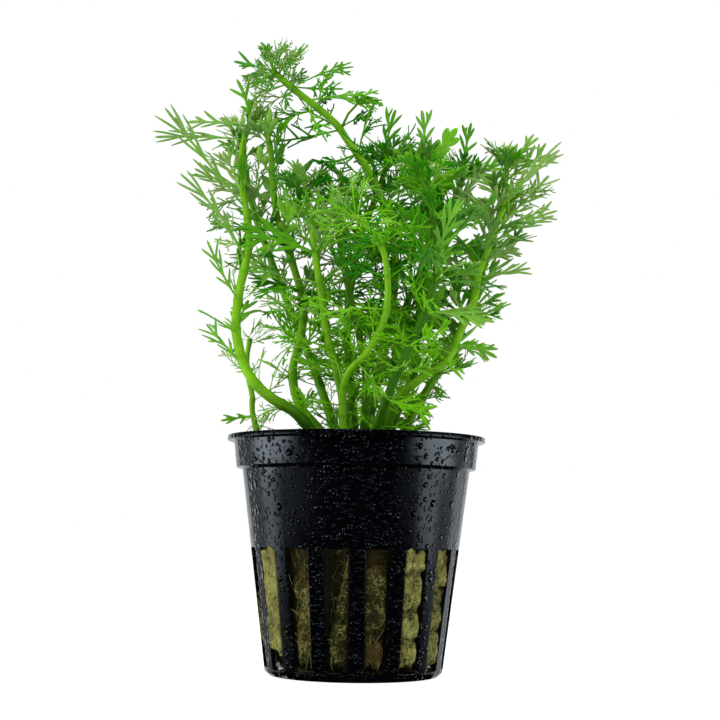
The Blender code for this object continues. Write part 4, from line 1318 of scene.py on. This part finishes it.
class Stem:
    """A round stem with its nodes, and the whorl of leaves that grows from each."""

    def __init__(self, name, look):
        route, self.radii = STEMS[name]
        self.name, self.growth, self.look = name, GROWTHS[name], look
        self.curve = Curve(route)
        step = look.pitch / MM / self.curve.length
        last = self.growth.last
        self.whorls = [last - step * i for i in range(int((last - FIRST_WHORL) / step), -1, -1)]
        self.rng = random.Random(name)
        self.bm = bmesh.new()
        floats = self.bm.verts.layers.float
        self.rib, self.tone, _ = [floats.new(layer) for layer in ("rib", "tone", "sage")]
        self.round_stem = self.bm.verts.layers.float_vector.new("round_stem")
        self.sides = {}

    def nearness(self, share):
        """How near the nearest node is: 1 at the node, and soon 0 away from it."""
        away = min(abs(share - whorl) for whorl in self.whorls) * self.curve.length
        return math.exp(-(away / NODE_REACH) ** 2)

    def radius(self, share):
        foot, tip = self.radii
        return (foot + (tip - foot) * share) * (1 + self.look.swell * self.nearness(share))

    def even_shares(self, start, end):
        """Shares of the length after one ring, up to the next that has a fixed place."""
        steps = max(1, round((end - start) * self.curve.length / RING_STEP))
        return [*(start + (end - start) * i / steps for i in range(1, steps)), end]

    def rings(self):
        """Shares of the length where rings stand: even between nodes, and three at each node."""
        reach = NODE_REACH / self.curve.length
        rings = [0.0]
        for whorl in self.whorls:
            rings += self.even_shares(rings[-1], whorl - reach) + [whorl, whorl + reach]
        for share in (*(share for share, _ in self.growth.crown), 1.0):
            rings += self.even_shares(rings[-1], share)
        return rings

    def grow_tube(self):
        """Extrude the stem from ring to ring, and keep each ring's side for its whorl."""
        face = start_face(self.bm, STEM_SIDES)
        side = Vector((1, 0, 0))
        for share in self.rings():
            if share:
                face = extrude(self.bm, face)
            radius = self.radius(share) * (TIP_SHRINK if share == 1 else 1)
            side = set_ring(face, self.curve.point(share), self.curve.direction(share), radius, side)
            self.sides[share] = side
            self.mark_ring(face, share)
        close_foot(self.bm)

    def mark_ring(self, face, share):
        """Keep what the skin needs: its place round and along the stem, how near a node is, and how dark
        it is: its dark foot, partly its own colour and partly painted shade, and the painted shade that
        darkens the rest of it.
        """
        shade = 1 - soft_step(self.curve.point(share).z, FOOT_DARK_Z, FOOT_LIGHT_Z)
        along = share * self.curve.length / STREAK_LENGTH
        for i, vert in enumerate(face.verts):
            turn = math.tau * i / STEM_SIDES
            vert[self.rib] = self.nearness(share)
            # Painted shade: the darker of the foot's shade and the shade on the whole stem
            vert[self.tone] = max(self.growth.shade * shade, self.growth.stem_shade)
            vert[self.round_stem] = (math.cos(turn), math.sin(turn), along)

    def leaf_size(self, share):
        """Full size in the middle of a stem, smaller on its foot and on its young tip."""
        at_foot = FOOT_SIZE + FOOT_GAIN * share / FULL_SIZE_FROM
        at_tip = 1 - TIP_LOSS * (share - YOUNG_FROM) / YOUNG_REACH
        return min(at_foot, 1, at_tip)

    def grow_whorls(self, shapes):
        """Lay the leaves of each whorl, set between those of the whorl below."""
        growth, rng = self.growth, self.rng
        whorls = [(share, self.leaf_size(share)) for share in self.whorls]
        for i, (share, size) in enumerate([*whorls, *growth.crown]):
            count = self.look.crowd + growth.more if share > growth.bare else BARE_CROWD
            way = self.curve.direction(share)
            side = self.sides[share]
            for k in range(count):
                around = math.tau * (k + 0.5 * (i % 2)) / count
                around += rng.uniform(-AROUND_CHANCE, AROUND_CHANCE)
                outward = math.cos(around) * side + math.sin(around) * way.cross(side)
                if self.hides_stem(share, outward):
                    continue
                kind = growth.kinds[min(2, int(rng.triangular(0, 3, 3 * share)))]
                self.grow_leaf(kind, rng.choice(shapes[kind]), share, way, outward,
                               size * growth.size, growth.tone)
        if self.name == WHEEL_STEM:
            self.grow_wheel(shapes[WHEEL_KIND])

    def hides_stem(self, share, outward):
        """Whether a leaf would stand in front of the stretch of stem that shows."""
        low, high = self.growth.shown
        return low < share < high and outward.y < HIDING_FACING

    def grow_wheel(self, shapes):
        side = UP.cross(WHEEL_FACING).normalized()
        over = WHEEL_FACING.cross(side)
        for k in range(WHEEL_LEAVES):
            around = math.tau * (k + self.rng.uniform(-AROUND_CHANCE, AROUND_CHANCE)) / WHEEL_LEAVES
            outward = math.cos(around) * side + math.sin(around) * over
            self.grow_leaf(WHEEL_KIND, self.rng.choice(shapes), WHEEL_SHARE, WHEEL_FACING, outward,
                           WHEEL_SIZE, WHEEL_TONE, WHEEL_SAGE)

    def grow_leaf(self, kind, shape, share, way, outward, size, tone, sage=0.0):
        """Lay a leaf square to a direction, or a little raised, with all its chance bends."""
        rng = self.rng
        rise, curl, _, _ = WHORL_LEAVES[kind]
        if kind != WHEEL_KIND:
            rise += TIP_RISE * share ** 3 + self.growth.rise
        rise = math.radians(rng.gauss(rise, RISE_CHANCE))
        along = outward * math.cos(rise) + way * math.sin(rise)
        top = way * math.cos(rise) - outward * math.sin(rise)
        top = Matrix.Rotation(math.radians(rng.gauss(0, ROLL_CHANCE)), 3, along) @ top
        size *= rng.uniform(*LEAF_SIZES) * self.look.leaf_length / MM / SHAPE_LENGTH
        foot = self.curve.point(share) + outward * self.radius(share) * LEAF_SEAT
        place = Matrix.Translation(foot) @ axes(along.cross(top), along, top)
        bend = Bend(rng.gauss(curl, BEND_CHANCE) or LEAST_CURL, rng.gauss(0, BEND_CHANCE),
                    rng.uniform(*CUPS), rng.gauss(0, SWAY_CHANCE))
        outer = max(-foot.x, foot.x * RIGHT_SAGE) / SAGE_REACH
        tone += rng.gauss(0, TONE_CHANCE)
        # Painted light on the low leaves
        tone += LOW_LEAF_PAINTED_LIGHT * (1 - soft_step(foot.z, LOW_LEAF_Z, HIGH_LEAF_Z))
        sage = max(0, min(1, rng.gauss(outer - SAGE_OFFSET + sage, SAGE_CHANCE)))
        shape.lay(self.bm, place, size, bend, tone, sage)


def make_stem(name, look, shapes, finishes):
    stem = Stem(name, look)
    stem.grow_tube()
    stem.grow_whorls(shapes)
    make_piece("shoot_" + name, stem.bm, finishes, ["stem_" + name])


# Long leaves

def farthest(points, root):
    """The point that lies farthest from another."""
    away = np.linalg.norm(points - np.array(root), axis=1)
    return Vector(points[away.argmax()])


def bow_side(mesh, length, rng):
    """Bow a flat leaf a little to one side, with its foot and its tip in place."""
    points = get_points(mesh)
    bow = length * rng.choice((-1, 1)) * rng.uniform(*SIDE_BOWS)
    points[:, 0] += bow * np.sin(math.pi * points[:, 1] / length)
    return points


def make_long_leaf(name, finishes):
    """A long leaf between the foot and the tip of its node, bowed by a set angle."""
    stem, share, kind, reach, sage, tone = LONG_LEAVES[name]
    root = Curve(STEMS[stem][0]).point(share)
    tip = farthest(get_points(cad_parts["leaf_" + name].data) / MM, root)
    along = (tip - root).normalized()
    top = UP.lerp(FRONT if tip.y < BACK_FROM_Y else -FRONT, LONG_FACING)
    top = (top - along * top.dot(along)).normalized()
    half = LONG_CURL / 2
    length = (tip - root).length * half / math.sin(half)
    way = along * math.cos(half) + top * math.sin(half)
    face = top * math.cos(half) - along * math.sin(half)
    rng = random.Random(name)
    sprout = Sprout(PLANS[kind], reach, rng)
    sprout.grow_whole(length, max(2, min(LONG_PAIRS[kind], round(length / PAIR_LENGTH))))
    mesh = sprout.to_mesh(name)
    bend = Bend(-LONG_CURL, rng.gauss(0, LONG_TWIST_CHANCE), rng.uniform(*LONG_CUPS), 0)
    turn = np.array(axes(way.cross(face), way, face).to_3x3())
    points = bent(bow_side(mesh, length, rng), length, bend) @ turn.T + np.array(root)
    set_leaf(mesh, points, tone, sage)
    bm = bmesh.new()
    bm.from_mesh(mesh)
    bpy.data.meshes.remove(mesh)
    piece = make_piece("long_" + name, bm, finishes, ["leaf_" + name])
    smooth = piece.modifiers.new("smooth", "SUBSURF")
    smooth.levels = smooth.render_levels = 1


# Stage

# Camera: its sensor's width, how far it stands in front of the pot's axis, its height, and its yaw,
# pitch and roll in degrees
SENSOR_WIDTH = 36
CAMERA_DISTANCE = 317.4
CAMERA_HEIGHT = 29.69
CAMERA_TURNS = (0.097, 6.661, 0.756)

# White floor, a little under the pot, in metres
FLOOR_SIZE = 3
FLOOR_DROP = 0.0002


class SoftBox(NamedTuple):
    """A rectangular lamp in metres: its place, the height on the pot's axis that it faces, its size,
    the setting that gives its glow, if one does, a factor on it, and whether gloss shows it."""

    spot: tuple
    aim_z: float
    size: tuple
    setting: str
    factor: float
    glossy: bool


SOFT_BOXES = {
    "key": SoftBox((-0.15, -0.5, 0.62), 0.08, (0.45, 0.35), "key", 1, False),
    "top": SoftBox((0.05, 0.15, 0.7), 0.08, (0.5, 0.5), "key", 1, False),
    "left": SoftBox((-0.5, -0.15, 0.2), 0.06, (0.5, 0.6), "side", 1, False),
    "right": SoftBox((0.5, -0.2, 0.2), 0.06, (0.45, 0.6), "side", 0.8, False),
    "glint": SoftBox((-0.05, -0.45, 0.7), 0.05, (0.18, 0.18), "key", 2, True),
    "back": SoftBox((0, 0.5, 0.08), 0.08, (0.5, 0.6), "", 1, True),
}

# Reflector: a round wall that only the gloss of the pot sees
REFLECTOR_RADIUS = 360.0
REFLECTOR_FOOT_Z = -130.0
REFLECTOR_HEAD_Z = 110.0
REFLECTOR_COLUMNS = 240
REFLECTOR_ROWS = 48
REFLECTOR_PEAK = 4.0


class Glow(NamedTuple):
    """A soft-edged bright panel on the reflector: the angle of its middle from the front, how far it
    is even and how far it reaches, the heights where it fades in and out, and its level."""

    turn: float
    even: float
    reach: float
    foot: tuple
    head: tuple
    level: float


GLOWS = (
    Glow(-83, 7, 36, (-6, 4), (34, 80), 0.92),
    Glow(77, 8, 34, (-6, 4), (34, 80), 0.9),
    Glow(-98, 3, 20, (-62, -32), (-4, 4), 0.26),
    Glow(80, 5, 20, (-62, -32), (-4, 4), 0.4),
    Glow(-112, 10, 45, (-110, -50), (34, 80), 0.1),
    Glow(112, 10, 34, (-110, -50), (34, 80), 0.12),
    Glow(-72, 0, 45, (-60, -30), (-4, 4), 0.07),
    Glow(70, 0, 40, (-60, -30), (-4, 4), 0.07),
    Glow(131, 7, 14, (-120, -80), (20, 50), 0.15),
    Glow(180, 33, 40, (-128, -100), (90, 108), 0.2),
)


def camera_place():
    """The camera in front of the pot, near the floor, tilted up and rolled a little."""
    yaw, pitch, roll = (math.radians(turn) for turn in CAMERA_TURNS)
    forward = Vector((math.sin(yaw) * math.cos(pitch), math.cos(yaw) * math.cos(pitch), math.sin(pitch)))
    right = Vector((math.cos(yaw), -math.sin(yaw), 0))
    over = right.cross(forward)
    across = right * math.cos(roll) + over * math.sin(roll)
    upward = over * math.cos(roll) - right * math.sin(roll)
    spot = Vector((0, -CAMERA_DISTANCE, CAMERA_HEIGHT)) * MM
    return Matrix.Translation(spot) @ axes(across, upward, -forward)


def make_camera(look):
    camera = bpy.data.objects.new("camera", bpy.data.cameras.new("camera"))
    camera.data.sensor_width = SENSOR_WIDTH
    camera.data.lens = look.lens
    camera.data.clip_start = 0.01
    camera.matrix_world = camera_place()
    bpy.context.scene.collection.objects.link(camera)
    bpy.context.scene.camera = camera


def make_soft_box(name, look):
    """One of the lamps, as bright per area as its setting and its factor say."""
    spot, aim_z, size, setting, factor, glossy = SOFT_BOXES[name]
    glow = factor * getattr(look, setting) if setting else factor
    lamp = bpy.data.lights.new(name, "AREA")
    lamp.shape = "RECTANGLE"
    lamp.size, lamp.size_y = size
    lamp.energy = glow * math.pi * size[0] * size[1]
    item = bpy.data.objects.new(name, lamp)
    back = (Vector(spot) - Vector((0, 0, aim_z))).normalized()
    item.matrix_world = Matrix.Translation(spot) @ back.to_track_quat("Z", "Y").to_matrix().to_4x4()
    item.visible_camera = False
    item.visible_glossy = glossy
    bpy.context.scene.collection.objects.link(item)


def make_sky(strength):
    """White for the camera, and an even light on all matt surfaces."""
    world = bpy.data.worlds.new("sky")
    bpy.context.scene.world = world
    world.use_nodes = True
    nodes, links = world.node_tree.nodes, world.node_tree.links
    background = nodes["Background"]
    background.inputs["Color"].default_value = (1, 1, 1, 1)
    rays = nodes.new("ShaderNodeLightPath")
    level = nodes.new("ShaderNodeMapRange")
    level.inputs["To Min"].default_value = strength
    level.inputs["To Max"].default_value = 1.0
    links.new(rays.outputs["Is Camera Ray"], level.inputs["Value"])
    links.new(level.outputs["Result"], background.inputs["Strength"])
    world.cycles_visibility.glossy = False


def make_stage_item(name, bm, finish):
    """Turn a mesh in metres into a part of the stage."""
    mesh = bpy.data.meshes.new(name)
    bm.to_mesh(mesh)
    bm.free()
    mesh.materials.append(finish.material)
    item = bpy.data.objects.new(name, mesh)
    bpy.context.scene.collection.objects.link(item)
    return item


def make_floor(look):
    bm = bmesh.new()
    bmesh.ops.create_grid(bm, x_segments=8, y_segments=8, size=FLOOR_SIZE)
    bmesh.ops.translate(bm, verts=bm.verts, vec=(0, 0, -FLOOR_DROP))
    finish = Finish("white_floor", {"Base Color": (0.3, 0.3, 0.3, 1), "Roughness": 0.9,
                                    "Specular IOR Level": 0.0, "Emission Color": (1, 1, 1, 1),
                                    "Emission Strength": look.floor_glow})
    floor = make_stage_item("floor", bm, finish)
    floor.visible_glossy = False


def glow_at(turn, z):
    """Level of the reflector's glow at an angle from the front and a height, as a share of its peak."""
    level = 0
    for glow in GLOWS:
        away = abs((turn - glow.turn + 180) % 360 - 180)
        level += (glow.level * (1 - soft_step(away, glow.even, glow.reach))
                  * soft_step(z, *glow.foot) * (1 - soft_step(z, *glow.head)))
    return min(level, 1)


def make_reflector(look):
    """The round wall with its bright panels, which lights nothing and shows in gloss alone."""
    step = (REFLECTOR_HEAD_Z - REFLECTOR_FOOT_Z) / REFLECTOR_ROWS
    profile = [(REFLECTOR_RADIUS, REFLECTOR_FOOT_Z + step * i) for i in range(REFLECTOR_ROWS + 1)]
    bm = spin_profile(profile, REFLECTOR_COLUMNS, -math.pi / 2)
    glow = bm.verts.layers.float.new("glow")
    for vert in bm.verts:
        vert[glow] = glow_at(math.degrees(turn_of(vert.co)) + 90, vert.co.z)
    bmesh.ops.scale(bm, verts=bm.verts, vec=(MM, MM, MM))
    finish = Finish("reflector", {"Base Color": (0, 0, 0, 1), "Specular IOR Level": 0.0,
                                  "Emission Strength": REFLECTOR_PEAK * look.shine})
    finish.set({"Emission Color": finish.tint(finish.attribute("glow"), (0, 0, 0), (0.9, 0.97, 1))})
    wall = make_stage_item("reflector", bm, finish)
    wall.visible_camera = wall.visible_diffuse = wall.visible_shadow = False
    wall.visible_transmission = wall.visible_volume_scatter = False


# Operators

class AMBULIA_OT_stage(bpy.types.Operator):
    """Set the camera, the floor and the lamps."""

    bl_idname = "ambulia.set_stage"
    bl_label = "Set Stage"

    def execute(self, context):
        look = context.scene.ambulia_stage
        make_camera(look)
        make_sky(look.sky)
        make_floor(look)
        make_reflector(look)
        for name in SOFT_BOXES:
            make_soft_box(name, look)
        bpy.context.scene.view_settings.view_transform = "Standard"
        return {"FINISHED"}


class AMBULIA_OT_pot(bpy.types.Operator):
    """Mould the slotted net pot with its wet film."""

    bl_idname = "ambulia.make_pot"
    bl_label = "Make Net Pot"

    def execute(self, context):
        make_pot(context.scene.ambulia_pot)
        return {"FINISHED"}


class AMBULIA_OT_wool(bpy.types.Operator):
    """Press the two chunks of rock wool into the pot."""

    bl_idname = "ambulia.make_wool"
    bl_label = "Make Rock Wool"

    def execute(self, context):
        look = context.scene.ambulia_wool
        finishes = [make_wool_finish(look), make_fibre_finish(look)]
        make_wool(look, "wool_left", True, finishes)
        make_wool(look, "wool_right", False, finishes)
        return {"FINISHED"}


class AMBULIA_OT_plant(bpy.types.Operator):
    """Grow the stems with their whorls of leaves, and the long leaves."""

    bl_idname = "ambulia.grow_stems"
    bl_label = "Grow Stems"

    def execute(self, context):
        look = context.scene.ambulia_plant
        finishes = [make_stem_finish(look), make_leaf_finish(look)]
        shapes = {kind: [LeafShape(kind, f"{kind}{i}") for i in range(leaf.shapes)]
                  for kind, leaf in WHORL_LEAVES.items()}
        for name in STEMS:
            make_stem(name, look, shapes, finishes)
        for name in LONG_LEAVES:
            make_long_leaf(name, finishes)
        for kind in shapes.values():
            for shape in kind:
                bpy.data.meshes.remove(shape.mesh)
        return {"FINISHED"}


class AMBULIA_PT_panel(bpy.types.Panel):
    """Settings and steps of the potted plant."""

    bl_idname = "AMBULIA_PT_panel"
    bl_label = "Potted Giant Ambulia"
    bl_space_type = "VIEW_3D"
    bl_region_type = "UI"
    bl_category = "Ambulia"

    def draw(self, context):
        for step, settings in STEPS:
            box = self.layout.box()
            box.operator(step.bl_idname)
            group = getattr(context.scene, settings)
            for name in group.__annotations__:
                box.prop(group, name)


STEPS = (
    (AMBULIA_OT_stage, "ambulia_stage"),
    (AMBULIA_OT_pot, "ambulia_pot"),
    (AMBULIA_OT_wool, "ambulia_wool"),
    (AMBULIA_OT_plant, "ambulia_plant"),
)
GROUPS = {
    "ambulia_stage": AMBULIA_PG_stage,
    "ambulia_pot": AMBULIA_PG_pot,
    "ambulia_wool": AMBULIA_PG_wool,
    "ambulia_plant": AMBULIA_PG_plant,
}


def register():
    for name, group in GROUPS.items():
        bpy.utils.register_class(group)
        setattr(bpy.types.Scene, name, PointerProperty(type=group))
    for step, _ in STEPS:
        bpy.utils.register_class(step)
    bpy.utils.register_class(AMBULIA_PT_panel)


def unregister():
    bpy.utils.unregister_class(AMBULIA_PT_panel)
    for step, _ in reversed(STEPS):
        bpy.utils.unregister_class(step)
    for name, group in GROUPS.items():
        delattr(bpy.types.Scene, name)
        bpy.utils.unregister_class(group)


def main():
    register()
    bpy.ops.ambulia.set_stage()
    bpy.ops.ambulia.make_pot()
    bpy.ops.ambulia.make_wool()
    bpy.ops.ambulia.grow_stems()


if __name__ == "__main__":
    main()
